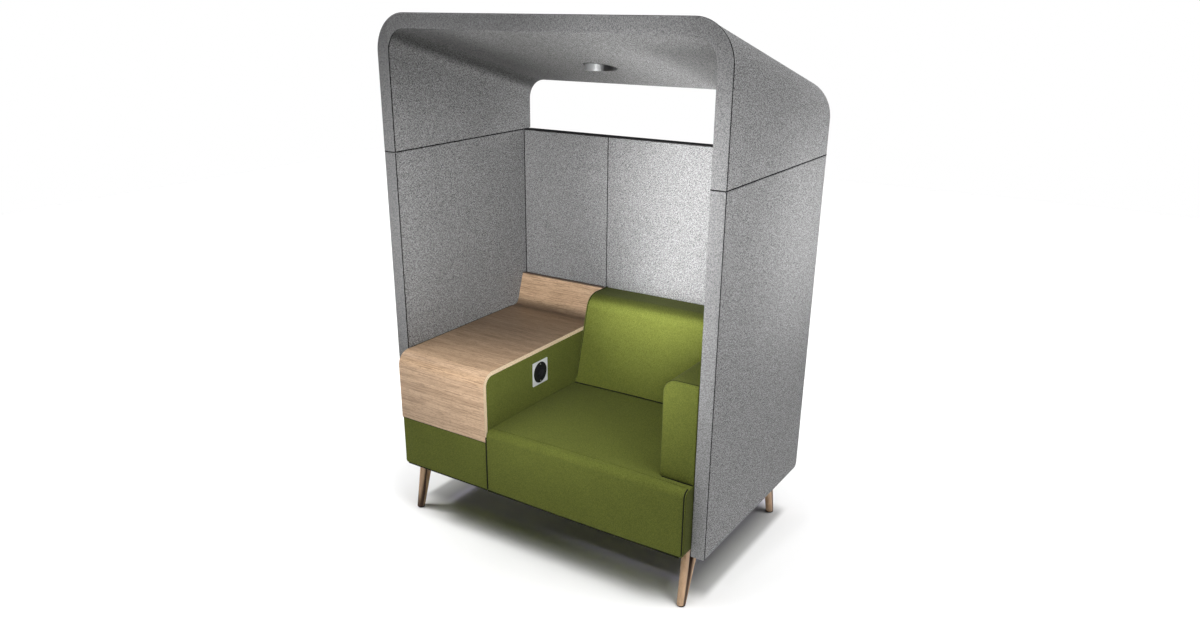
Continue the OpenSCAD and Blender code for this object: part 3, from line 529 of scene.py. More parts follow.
@dataclass(frozen=True)
class Veneer:
    """Oak veneer on bent plywood, with the grain across the table."""

    name: str
    pale: Colour
    mid: Colour
    dark: Colour
    edge: Colour
    glue: Colour
    table_h: float = 0.712
    bend_r: float = 0.055
    rise_y: float = 0.309
    rise_r: float = 0.030
    lean: float = math.radians(18)
    ply: float = 0.0015
    top_z: float = 0.8450
    crease_dark: float = 0.50
    rear_dark: float = 0.42

    def depth(self, s: Surface) -> Value:
        """Depth under the sheet's upper face, round the front bend and behind the rear one."""
        _, y, z = s.axes
        round_y = (SIZES.front_y + self.bend_r - y).high(0.0)
        round_z = (z - (self.table_h - self.bend_r)).high(0.0)
        depth = self.bend_r - (round_y * round_y + round_z * round_z).sqrt()
        back_y, back_z = y - self.rise_y, z - (self.table_h + self.rise_r)
        along = back_y * math.sin(self.lean) + back_z * math.cos(self.lean)
        across = back_y * math.cos(self.lean) - back_z * math.sin(self.lean)
        below = (-1.0 * along).high(0.0)
        behind = (across * across + below * below).sqrt() - self.rise_r
        rising = y.over(self.rise_y)
        return depth * (1.0 - rising) + behind * rising

    def cut(self, s: Surface) -> Socket:
        """The plies on a cut edge."""
        layer = (self.depth(s) * (math.pi / self.ply)).sin()
        plies = s.mix(layer.ramp(0.3, 0.9), self.edge, self.mid)
        return s.mix(s.noise(600.0).ramp(0.45, 0.75) * 0.35, plies, self.glue)

    def shadow(self, s: Surface) -> Value:
        """Painted shade at the bend under the upstand and over the table's back."""
        _, y, z = s.axes
        off_y, off_z = y - self.rise_y, z - self.table_h
        crease = (off_y * off_y + off_z * off_z).sqrt().ramp(0.06, 0.0)
        flat = 1.0 - z.ramp(self.table_h + 0.004, self.table_h + 0.05)
        rear = y.ramp(SIZES.front_y + 0.06, 0.05) * flat
        return (1.0 - crease * self.crease_dark) * (1.0 - rear * self.rear_dark)

    def material(self) -> bpy.types.Material:
        """Builds the veneer's material, with the plies on its cut edges."""
        s = Surface(self.name)
        _, y, z = s.axes
        wander = s.noise((1.6, 7.0, 7.0))
        bands = s.noise((1.4, 42.0, 42.0), 3.0, 0.55)
        fine = s.noise((11.0, 300.0, 300.0), 4.0, 0.65)
        pores = s.noise((55.0, 620.0, 620.0), 2.0, 0.6)
        rings = (((y + z + wander * 0.02) * 560.0).sin() * 0.5 + 0.5) * 0.35
        tone = bands * 0.8 + fine * 0.5 + rings * 0.25 - 0.18
        colour = s.mix(tone.ramp(0.30, 0.75), self.pale, self.mid)
        colour = s.mix(fine.ramp(0.48, 0.66) * 0.6, colour, self.dark)
        colour = s.mix(pores.ramp(0.54, 0.66) * 0.65, colour, self.dark)
        # Painted shade at the bend under the upstand and towards the table's back.
        colour = s.shade(colour, self.shadow(s))
        colour = s.mix(abs(s.outward[0]).over(0.7), colour, self.cut(s))
        # The upstand's top edge is coloured dark brown.
        colour = s.mix(z.over(self.top_z), colour, self.glue)
        s.bump(fine * 0.6 + pores.ramp(0.75, 0.55) * 0.6, 0.00012, 0.5)
        return s.finish(
            Base_Color=colour,
            Roughness=0.42 + fine * 0.16,
            Coat_Weight=0.12,
            Coat_Roughness=0.3,
            Specular_IOR_Level=0.4,
        )


@dataclass(frozen=True)
class TurnedWood:
    """Turned leg wood with upright grain, and painted shade in the valley between the prongs."""

    name: str
    pale: Colour
    dark: Colour
    worn: Colour
    # deep is the colour of the painted shade in the valley between the prongs.
    deep: Colour = (0.055, 0.028, 0.015)
    foot: Point = (0.625, -0.403, 0.392)
    low: float = 0.0063
    rise: float = SIZES.block_z - 0.0083
    reach: float = 0.0558
    across: tuple[float, float] = (-0.192, 0.981)
    valley: float = 0.0105
    valley_deep: float = 0.0025
    left_shift: float = 0.0145

    def groove(self, s: Surface) -> Value:
        """Mask of the painted shade: 1 in the valley between a leg's two prongs, 0 away from it."""
        x, y, z = s.axes
        inward = self.foot[0] - (x * x).sqrt()
        rear = y.over(0.0)
        back = (y - self.foot[1]) * (1.0 - rear) + (self.foot[2] - y) * rear
        lean = (z - self.low) * (self.reach / self.rise)
        off = inward * self.across[0] + back * self.across[1] - lean
        off = off + x.under(0.0) * self.left_shift
        return ((off * off).sqrt() - z * 0.03).ramp(self.valley, self.valley_deep)

    def material(self) -> bpy.types.Material:
        """Builds the turned wood's material."""
        s = Surface(self.name)
        bands = s.noise((90.0, 90.0, 6.0), 3.0)
        fine = s.noise((700.0, 700.0, 22.0), 3.0, 0.6)
        colour = s.mix((bands * 0.7 + fine * 0.5).ramp(0.35, 0.85), self.pale, self.dark)
        scuff = s.noise(60.0, 3.0).ramp(0.45, 0.7) * s.axes[2].ramp(0.045, 0.008)
        colour = s.mix(scuff * 0.5, colour, self.worn)
        # Painted shade darkens the valley between the prongs, which is also rougher and without
        # coat there.
        groove = self.groove(s)
        colour = s.mix(groove * 0.98, colour, self.deep)
        s.bump(fine, 0.0001, 0.4)
        return s.finish(
            Base_Color=colour,
            Roughness=0.4 + fine * 0.15 + groove * 0.35,
            Coat_Weight=(1.0 - groove) * 0.15,
            Coat_Roughness=0.25,
        )


@dataclass(frozen=True)
class RawBoard:
    """Unfinished board inside the padding."""

    name: str
    pale: Colour
    dark: Colour

    def material(self) -> bpy.types.Material:
        """Builds the board's material."""
        s = Surface(self.name)
        chips = s.noise(240.0, 3.0, 0.7)
        tone = (chips * 0.8 + s.noise(14.0) * 0.3).ramp(0.35, 0.8)
        s.bump(chips, 0.0003, 0.5)
        return s.finish(Base_Color=s.mix(tone, self.pale, self.dark), Roughness=0.75 + chips * 0.15)


@dataclass(frozen=True)
class Moulded:
    """Moulded plastic with a fine spark-eroded grain."""

    name: str
    colour: Colour
    rough: float = 0.45
    grain: float = 1500.0
    relief: float = 0.00004
    gloss: float = 0.5

    def material(self) -> bpy.types.Material:
        """Builds the plastic's material."""
        s = Surface(self.name)
        fine = s.noise(self.grain, 2.0, 0.6)
        dust = s.noise(35.0, 3.0, 0.6)
        lighter = tuple(min(1.0, c * 1.25 + 0.01) for c in self.colour)
        colour = s.mix(dust.ramp(0.4, 0.8) * 0.5, self.colour, lighter)
        s.bump(fine, self.relief, 0.5)
        rough = self.rough + dust * 0.12 + fine * 0.05
        return s.finish(Base_Color=colour, Roughness=rough, Specular_IOR_Level=self.gloss)


@dataclass(frozen=True)
class Metal:
    """Plated or brushed metal."""

    name: str
    colour: Colour
    rough: float = 0.2
    brushed: float = 0.0
    dusk: float = 0.0

    def material(self) -> bpy.types.Material:
        """Builds the metal's material; where set, a painted dark reflection darkens the drum's
        right part.
        """
        s = Surface(self.name)
        streak = s.noise((700.0, 700.0, 60.0), 2.0, 0.6)
        smear = s.noise(30.0, 3.0)
        darker = tuple(c * 0.82 for c in self.colour)
        colour = s.mix(smear.ramp(0.35, 0.8) * 0.35, self.colour, darker)
        # Painted dark reflection: the drum's right part is darkened.
        if self.dusk:
            colour = s.shade(colour, 1.0 - s.axes[0].ramp(-0.085, -0.035) * self.dusk)
        s.bump(streak, 0.00003 + 0.00008 * self.brushed, 0.3 + 0.4 * self.brushed)
        rough = self.rough + smear * 0.08 + streak * 0.1 * self.brushed
        return s.finish(Base_Color=colour, Metallic=1.0, Roughness=rough)


@dataclass(frozen=True)
class Frosted:
    """Frosted diffuser of the downlight, switched off."""

    name: str
    colour: Colour
    far: Colour = (0.80, 0.82, 0.84)

    def material(self) -> bpy.types.Material:
        """Builds the diffuser's material."""
        s = Surface(self.name)
        grain = s.noise(900.0)
        colour = s.mix(grain * 0.3, self.colour, self.far)
        s.bump(grain, 0.00005, 0.3)
        return s.finish(Base_Color=colour, Roughness=0.35 + grain * 0.2, Coat_Weight=0.3)


@dataclass
class Finishes:
    """Every finish of the booth, built once."""

    made: dict[str, bpy.types.Material] = field(default_factory=dict)

    def build(self) -> None:
        """Builds the materials by the record's slot names, and those of the threads."""
        oak = ((0.55, 0.38, 0.243), (0.385, 0.255, 0.155), (0.168, 0.10, 0.054))
        edge, glue = (0.90, 0.72, 0.52), (0.10, 0.06, 0.04)
        leg = ((0.63, 0.41, 0.24), (0.42, 0.26, 0.15), (0.25, 0.17, 0.11))
        kinds: tuple[Any, ...] = (
            ScreenCloth("grey_cloth", (0.206, 0.206, 0.2075), 0.72),
            SeatCloth("green_cloth", (0.1025, 0.118, 0.0228), 0.22, sheen=0.03, gloss=0.08),
            Veneer("veneer", *oak, edge, glue),
            TurnedWood("leg_wood", *leg),
            RawBoard("board", (0.52, 0.38, 0.24), (0.34, 0.23, 0.13)),
            Moulded("black_plastic", (0.010, 0.010, 0.011), 0.5, gloss=0.15),
            Moulded("silver_plastic", (0.55, 0.56, 0.58), 0.3),
            Cloth("dark_cloth", (0.02, 0.02, 0.02)),
            Cloth("seam_thread", (0.011, 0.011, 0.012), sheen=0.0, gloss=0.05),
            # Green thread, also used for thin cords of painted shade in gaps.
            Cloth("green_thread", (0.020, 0.024, 0.007), sheen=0.0),
            # Near-black cords of painted shade in the gaps.
            Cloth("gap_thread", (0.008, 0.009, 0.005), sheen=0.0),
            Metal("chrome", (0.90, 0.91, 0.92), 0.33, dusk=0.88),
            Metal("steel", (0.55, 0.56, 0.58), 0.32, 1.0),
            Moulded("black_metal", (0.015, 0.015, 0.016), 0.35, 900.0),
            Metal("cooler", (0.09, 0.09, 0.095), 0.5, 0.6),
            Frosted("lens", (0.90, 0.90, 0.86)),
        )
        for finish in kinds:
            self.made[finish.name] = finish.material()

    def __getitem__(self, name: str) -> bpy.types.Material:
        """The material of a slot."""
        return self.made[name]


@dataclass
class Outline:
    """A closed outline with rounded corners, sampled for lofting.

    Corners run anticlockwise as (first, second, radius).
    """

    corners: Sequence[Corner]
    pitch: float = 0.03
    steps: int = 8
    extra: Sequence[float] = ()
    margin: float = 0.0015

    def drawn_in(self, inset: float) -> list[Corner]:
        """The corners moved inward, each round the same centre as far as its radius lasts.

        Args:
            inset: how far every side moves inward.

        Returns:
            The moved corners.
        """
        moved: list[Corner] = []
        for i, (u, v, r) in enumerate(self.corners):
            here = np.array((u, v))
            first = here - np.array(self.corners[i - 1][:2])
            second = np.array(self.corners[(i + 1) % len(self.corners)][:2]) - here
            first, second = first / np.linalg.norm(first), second / np.linalg.norm(second)
            out = np.array((first[1] + second[1], -first[0] - second[0])) / (1 + first @ second)
            bends_out = first[0] * second[1] - first[1] * second[0] > 0
            radius = r if r <= 0 else max(r - inset, 0.0002) if bends_out else r + inset
            moved.append((here[0] - inset * out[0], here[1] - inset * out[1], radius))
        return moved

    def arcs(self, corners: Sequence[Corner]) -> list[np.ndarray]:
        """Points round each corner.

        Args:
            corners: the corners as (first, second, radius).

        Returns:
            One array of points for each corner.
        """
        arcs: list[np.ndarray] = []
        for i, (u, v, r) in enumerate(corners):
            here = np.array((u, v))
            before = np.array(corners[i - 1][:2])
            after = np.array(corners[(i + 1) % len(corners)][:2])
            a = (before - here) / np.linalg.norm(before - here)
            b = (after - here) / np.linalg.norm(after - here)
            angle = math.acos(float(np.clip(a @ b, -1, 1)))
            if r <= 0 or angle > math.pi - 1e-3:
                arcs.append(np.array([here]))
                continue
            centre = here + (a + b) / np.linalg.norm(a + b) * r / math.sin(angle / 2)
            first = here + a * r / math.tan(angle / 2) - centre
            last = here + b * r / math.tan(angle / 2) - centre
            start = math.atan2(first[1], first[0])
            end = math.atan2(last[1], last[0])
            sweep = (end - start + math.pi) % (2 * math.pi) - math.pi
            pieces = max(2, round(self.steps * abs(sweep) / (math.pi / 2)))
            turns = start + sweep * np.linspace(0, 1, pieces + 1)
            arcs.append(centre + r * np.stack((np.cos(turns), np.sin(turns)), 1))
        return arcs

    def fractions(self, start: np.ndarray, end: np.ndarray) -> list[float]:
        """Places along a straight side, as parts of its length.

        Args:
            start: the side's first point.
            end: its last point.

        Returns:
            The places, rising.
        """
        length = float(np.linalg.norm(end - start))
        near = min(self.margin, length / 4)
        pieces = max(1, round((length - 2 * near) / self.pitch))
        places = {near + (length - 2 * near) * k / pieces for k in range(pieces + 1)}
        span = end[0] - start[0]
        if abs(span) > 1e-6:
            places |= {length * (level - start[0]) / span for level in self.extra}
        first, last = near * 0.5, length - near * 0.5
        return [place / length for place in sorted(places) if first < place < last]

    def points(self, inset: float = 0.0) -> np.ndarray:
        """Samples the outline.

        Args:
            inset: how far its sides are moved inward; the number of points stays the same.

        Returns:
            An array of points, without the repeated first one.
        """
        whole = self.arcs(self.corners)
        arcs = self.arcs(self.drawn_in(inset)) if inset else whole
        path: list[np.ndarray] = []
        for i, arc in enumerate(arcs):
            after = (i + 1) % len(arcs)
            path += list(arc)
            for part in self.fractions(whole[i][-1], whole[after][0]):
                path.append(arc[-1] + (arcs[after][0] - arc[-1]) * part)
        return np.array(path)


@dataclass
class SoftBlock:
    """An outline drawn along an axis, with rounded ends, as a padded piece has."""

    outline: Outline
    axis: Axis
    low: float
    high: float
    low_r: float
    high_r: float
    pitch: float = 0.03
    steps: int = 6
    margin: float = 0.0015

    def end(self, place: float, radius: float) -> list[tuple[float, float]]:
        """One rounded end, from its face inwards.

        Args:
            place: the face's place along the axis.
            radius: the end's radius, negative where inwards is down the axis.

        Returns:
            Places along the axis, each with how far the outline is drawn in there.
        """
        rows = [(place, abs(radius) + self.margin)]
        for k in range(self.steps + 1):
            a = k / self.steps * math.pi / 2
            rows.append((place + radius * (1 - math.cos(a)), abs(radius) * (1 - math.sin(a))))
        return rows

    def stations(self) -> list[tuple[float, float]]:
        """Places along the axis, each with how far the outline is drawn in there."""
        start = self.low + self.low_r + self.margin
        stop = self.high - self.high_r - self.margin
        pieces = max(1, round((stop - start) / self.pitch))
        middle = [(start + (stop - start) * k / pieces, 0.0) for k in range(pieces + 1)]
        return self.end(self.low, self.low_r) + middle + self.end(self.high, -self.high_r)[::-1]

    def rings(self) -> np.ndarray:
        """The block's rings of points, one for each station."""
        others = [i for i in range(3) if i != self.axis.value]
        rings = []
        for place, inset in self.stations():
            flat = self.outline.points(inset)
            ring = np.empty((len(flat), 3))
            ring[:, self.axis.value] = place
            ring[:, others] = flat
            rings.append(ring)
        return np.array(rings)


def rectangle(u: Span, v: Span, radii: Sequence[float]) -> tuple[Corner, ...]:
    """Corners of a rectangle, anticlockwise from its lowest.

    Args:
        u: its low and high edge along the first axis.
        v: its low and high edge along the second axis.
        radii: the corners' four radii.

    Returns:
        The corners.
    """
    places = ((u[0], v[0]), (u[1], v[0]), (u[1], v[1]), (u[0], v[1]))
    return tuple((*place, radius) for place, radius in zip(places, radii))


def straight(start: Point, end: Point, pieces: int = 1) -> list[Point]:
    """Points evenly along a straight line.

    Args:
        start: its first point.
        end: its last point.
        pieces: number of steps.

    Returns:
        The points.
    """
    steps = range(pieces + 1)
    return [tuple(a + (b - a) * k / pieces for a, b in zip(start, end)) for k in steps]


def corner_lift(past: np.ndarray, z: np.ndarray, radius: float) -> np.ndarray:
    """Lift that rounds a block's lower corner in the front view.

    Args:
        past: how far each point is past the start of the corner.
        z: the points' heights.
        radius: the corner's radius.

    Returns:
        How far each point moves up.
    """
    past = np.clip(past, 0, radius)
    low = np.clip((SIZES.block_z + SIZES.corner_fade - z) / SIZES.corner_fade, 0, 1)
    return (radius - np.sqrt(np.clip(radius**2 - past**2, 0, None))) * low


@dataclass
class Builder:
    """Makes meshes into finished pieces of the booth."""

    finishes: Finishes
    sharp: float = math.radians(40)
    same: float = 1e-6
    drill_start: float = -0.01
    drill_sides: int = 64

    def skin(
        self, name: str, rings: np.ndarray, shape: Optional[Shaper] = None
    ) -> bpy.types.Mesh:
        """Joins rings of points into a closed smooth mesh whose faces point outwards.

        Args:
            name: the mesh's name.
            rings: array of ring, point and coordinate.
            shape: moves the points, given and returned as an array.

        Returns:
            The mesh.
        """
        count, size, _ = rings.shape
        faces: list[tuple[int, ...]] = []
        for i in range(0, (count - 1) * size, size):
            for j in range(size):
                k = (j + 1) % size
                faces.append((i + j, i + k, i + size + k, i + size + j))
        faces += [tuple(range(size)), tuple(range((count - 1) * size, count * size))]
        points = rings.reshape(-1, 3)
        mesh = bpy.data.meshes.new(name)
        mesh.from_pydata([tuple(p) for p in (shape(points) if shape else points)], [], faces)
        work = bmesh.new()
        work.from_mesh(mesh)
        bmesh.ops.remove_doubles(work, verts=work.verts, dist=self.same)
        bmesh.ops.recalc_face_normals(work, faces=work.faces)
        work.to_mesh(mesh)
        work.free()
        mesh.shade_smooth()
        mesh.set_sharp_from_angle(angle=self.sharp)
        mesh.update()
        return mesh

    def piece(
        self, name: str, mesh: bpy.types.Mesh, slot: str, body: str = "booth", finish: str = ""
    ) -> bpy.types.Object:
        """Puts a mesh in the scene as a piece of a body.

        Args:
            name: the piece's name.
            mesh: its mesh.
            slot: the record's material slot.
            body: the body that it rides on.
            finish: its finish, if not the slot's own.

        Returns:
            The piece.
        """
        mesh.materials.clear()
        mesh.materials.append(self.finishes[finish or slot])
        obj = bpy.data.objects.new(name, mesh)
        bpy.context.scene.collection.objects.link(obj)
        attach(obj, body)
        log.info("%s: %d faces", name, len(mesh.polygons))
        return obj

    def padded(
        self, name: str, mesh: bpy.types.Mesh, slot: str, nodes: Sequence[str], fill_share: float
    ) -> None:
        """Puts a mesh in the scene as a padded piece.

        Args:
            name: the piece's name.
            mesh: its mesh.
            slot: the record's material slot.
            nodes: the CAD nodes that it stands for.
            fill_share: how full the padding is; not used.
        """
        obj = self.piece(name, mesh, slot)
        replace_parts(obj, *nodes)

    def drilled(
        self, mesh: bpy.types.Mesh, centre: Point, along: Point, radius: float, deep: float
    ) -> bpy.types.Mesh:
        """Cuts a round blind hole into a closed mesh.

        Args:
            mesh: the mesh to cut.
            centre: where the hole's axis meets the surface.
            along: direction into the piece.
            radius: the hole's radius.
            deep: its depth.

        Returns:
            The cut mesh.
        """
        turn = Vector(along).to_track_quat("Z", "Y")
        rings = []
        for z in (self.drill_start, deep):
            angles = [math.pi * k / (self.drill_sides / 2) for k in range(self.drill_sides)]
            ring = [(radius * math.cos(a), radius * math.sin(a), z) for a in angles]
            rings.append([tuple(Vector(centre) + turn @ Vector(p)) for p in ring])
        body = bpy.data.objects.new("carved", mesh)
        tool = bpy.data.objects.new("drill", self.skin("drill", np.array(rings)))
        for obj in (body, tool):
            bpy.context.scene.collection.objects.link(obj)
        cut = body.modifiers.new("hole", "BOOLEAN")
        cut.operation = "DIFFERENCE"
        cut.solver = "EXACT"
        cut.object = tool
        bpy.context.view_layer.update()
        done = bpy.data.meshes.new_from_object(
            body.evaluated_get(bpy.context.evaluated_depsgraph_get())
        )
        body.modifiers.clear()
        bpy.data.objects.remove(body)
        bpy.data.objects.remove(tool)
        done.name = mesh.name + "_cut"
        done.set_sharp_from_angle(angle=self.sharp)
        return done


def ripple(points: np.ndarray, size: float, height: float, seed: float) -> np.ndarray:
    """Slow unevenness of cloth over foam.

    Args:
        points: the points in metres.
        size: length of one wave in metres.
        height: greatest height in metres.
        seed: shifts the pattern.

    Returns:
        One height for each point.
    """
    k = 2 * math.pi / size
    x, y, z = points.T
    waves = (
        np.sin(k * (x * 0.9 + y * 0.35 - z * 0.2) + seed)
        + np.sin(k * (x * 0.3 - y * 0.8 + z * 0.45) * 1.31 + seed * 2.1)
        + np.sin(k * (-x * 0.25 + y * 0.4 + z * 0.95) * 0.83 + seed * 3.7)
    )
    return waves * height / 3


class SeamTree:
    """Geometry node trees that turn a drawn line into piping or a row of stitches."""

    def __init__(self, name: str, inputs: dict[str, float]) -> None:
        """Starts a tree with named sizes.

        Args:
            name: the tree's name.
            inputs: each input's name and its default.
        """
        self.tree = bpy.data.node_groups.new(name, "GeometryNodeTree")
        face = self.tree.interface
        face.new_socket("Geometry", in_out="INPUT", socket_type="NodeSocketGeometry")
        self.ids: dict[str, str] = {}
        for label, value in inputs.items():
            socket = face.new_socket(label, in_out="INPUT", socket_type="NodeSocketFloat")
            socket.default_value = value
            self.ids[label] = socket.identifier
        socket = face.new_socket("Material", in_out="INPUT", socket_type="NodeSocketMaterial")
        self.ids["Material"] = socket.identifier
        face.new_socket("Geometry", in_out="OUTPUT", socket_type="NodeSocketGeometry")
        self.start = self.tree.nodes.new("NodeGroupInput")
        self.end = self.tree.nodes.new("NodeGroupOutput")

    def node(
        self, kind: str, settings: Optional[dict[str, Any]] = None, **inputs: Any
    ) -> Socket:
        """Adds a node.

        Args:
            kind: the node's type.
            settings: attributes set first.
            inputs: sockets or values by input name, with underscores for spaces.

        Returns:
            The new node's first output.
        """
        node = self.tree.nodes.new(kind)
        for key, value in (settings or {}).items():
            setattr(node, key, value)
        fill(self.tree, node, {key.replace("_", " "): inputs[key] for key in inputs})
        return node.outputs[0]

    def given(self, label: str) -> Socket:
        """One of the tree's named inputs."""
        return self.start.outputs[label]

    def close(self, geometry: Socket) -> "SeamTree":
        """Ends the tree in realised instances with their material.

        Args:
            geometry: what the tree made.

        Returns:
            The tree itself.
        """
        real = self.node("GeometryNodeRealizeInstances", Geometry=geometry)
        dressed = self.node(
            "GeometryNodeSetMaterial", Geometry=real, Material=self.given("Material")
        )
        self.tree.links.new(dressed, self.end.inputs[0])
        return self

    @classmethod
    def piping(cls) -> "SeamTree":
        """A round cord that follows the line."""
        t = cls("seam_piping", {"Cord radius": 0.0015})
        ring = t.node(
            "GeometryNodeCurvePrimitiveCircle",
            {"mode": "RADIUS"},
            Resolution=8,
            Radius=t.given("Cord radius"),
        )
        cord = t.node(
            "GeometryNodeCurveToMesh",
            Curve=t.given("Geometry"),
            Profile_Curve=ring,
            Fill_Caps=True,
        )
        return t.close(t.node("GeometryNodeSetShadeSmooth", Geometry=cord, Shade_Smooth=True))

    @classmethod
    def stitches(cls) -> "SeamTree":
        """A row of short threads along the line."""
        t = cls(
            "seam_stitches", {"Spacing": 0.006, "Thread radius": 0.0004, "Stitch length": 0.0038}
        )
        points = t.node(
            "GeometryNodeResampleCurve",
            {"mode": "LENGTH"},
            Curve=t.given("Geometry"),
            Length=t.given("Spacing"),
        )
        thread = t.node(
            "GeometryNodeMeshCylinder",
            {"fill_type": "TRIANGLE_FAN"},
            Vertices=6,
            Side_Segments=1,
            Radius=t.given("Thread radius"),
            Depth=t.given("Stitch length"),
        )
        turn = t.node(
            "FunctionNodeAlignRotationToVector",
            {"axis": "Z"},
            Vector=t.node("GeometryNodeInputTangent"),
        )
        rows = t.node(
            "GeometryNodeInstanceOnPoints", Points=points, Instance=thread, Rotation=turn
        )
        return t.close(rows)

    def run(
        self,
        name: str,
        lines: Sequence[Sequence[Point]],
        material: bpy.types.Material,
        sizes: dict[str, float],
    ) -> bpy.types.Mesh:
        """Runs the tree on lines and returns a plain mesh.

        Args:
            name: the mesh's name.
            lines: the lines as lists of points.
            material: the cord's or thread's material.
            sizes: values of the tree's named inputs.

        Returns:
            The mesh.
        """
        curve = bpy.data.curves.new(name + "_line", "CURVE")
        curve.dimensions = "3D"
        for line in lines:
            spline = curve.splines.new("POLY")
            spline.points.add(len(line) - 1)
            for point, place in zip(spline.points, line):
                point.co = (*place, 1.0)
        holder = bpy.data.objects.new(name + "_line", curve)
        bpy.context.scene.collection.objects.link(holder)
        modifier = holder.modifiers.new("seam", "NODES")
        modifier.node_group = self.tree
        for label, value in {**sizes, "Material": material}.items():
            modifier[self.ids[label]] = value
        bpy.context.view_layer.update()
        evaluated = holder.evaluated_get(bpy.context.evaluated_depsgraph_get())
        mesh = bpy.data.meshes.new_from_object(evaluated)
        mesh.name = name
        holder.modifiers.clear()
        bpy.data.objects.remove(holder)
        return mesh


@dataclass
class Screens:
    """Two side panels and two back panels of cloth over foam and board."""

    make: Builder
    sizes: BoothSizes = SIZES
    edge_r: float = 0.004
    corner_r: float = 0.003
    top_r: float = 0.001
    toe_r: float = 0.025
    cap_t: float = 0.003
    fit: float = 0.0003
    rows: int = 8
    outer_sink: float = 0.0006
    left_sink: float = 0.0005
    right_sink: float = 0.0020
    joint_sink: float = 0.0020
    wall_gap: float = 0.0008
    loop_sink: float = 0.0010
    loop_r: float = 0.0015

    def panel(
        self, name: str, axis: Axis, span: Span, corners: Sequence[Corner], node: str
    ) -> None:
        """One padded panel.

        Args:
            name: the piece's name.
            axis: the axis through its thickness.
            span: its low and high face.
            corners: its outline.
            node: the CAD node that it stands for.
        """
        outline = Outline(corners, pitch=0.05)
        block = SoftBlock(outline, axis, *span, self.edge_r, self.edge_r, pitch=0.02)
        self.make.padded(name, self.make.skin(name, block.rings()), "grey_cloth", [node], 1.0)

    def build(self) -> None:
        """Builds the four padded panels."""
        s, r = self.sizes, self.corner_r
        radii = (r, self.toe_r, self.top_r, self.top_r)
        height = (s.floor_gap, s.seam_z - s.joint_gap / 2)
        corners = rectangle((s.panel_y, s.rear_y), height, radii)
        for side in Side:
            name = side.name.lower()
            low, high = sorted((side.value * s.half_w, side.value * s.inner_x))
            self.panel(f"{name}_screen", Axis.X, (low, high), corners, f"{name}_panel_cover")
        height = (s.floor_gap, s.seam_z - self.cap_t)
        span = (s.rear_face_y, s.rear_y)
        for name, low, high in (("narrow", -s.inner_x, s.split_x), ("wide", s.split_x, s.inner_x)):
            corners = rectangle((low + self.fit, high - self.fit), height, (r, r, r, r))
            self.panel(f"{name}_back_screen", Axis.Y, span, corners, f"rear_{name}_cover")

    def seam_lines(self) -> list[list[Point]]:
        """Seams up the side panels' front edges and the back panels' joints, and round the tops."""
        s = self.sizes
        low, high = s.floor_gap + 0.003, s.seam_z - s.joint_gap / 2 - 0.002
        y, outer = s.panel_y + s.seam_back, s.half_w - self.outer_sink
        sides = (-outer, -s.inner_x - self.left_sink, s.inner_x + self.right_sink, outer)
        lines = [straight((x, y, low), (x, y, high), self.rows) for x in sides]
        top = s.seam_z - self.cap_t - 0.001
        wall = s.inner_x - self.wall_gap
        for x, y in (
            (s.split_x, s.rear_face_y + self.joint_sink),
            (-wall, s.rear_face_y),
            (wall, s.rear_face_y),
        ):
            lines.append(straight((x, y, low), (x, y, top), self.rows))
        front = s.panel_y + self.loop_sink
        for side in Side:
            inner = side.value * (s.inner_x + self.loop_sink)
            outer = side.value * (s.half_w - self.loop_sink)
            step = side.value * self.loop_r
            loop = [(inner, s.rear_face_y), (inner, front + self.loop_r), (inner + step, front)]
            loop += [(outer - step, front), (outer, front + self.loop_r), (outer, s.rear_y - 0.003)]
            lines.append([(x, y, s.seam_z) for x, y in loop])
        return lines


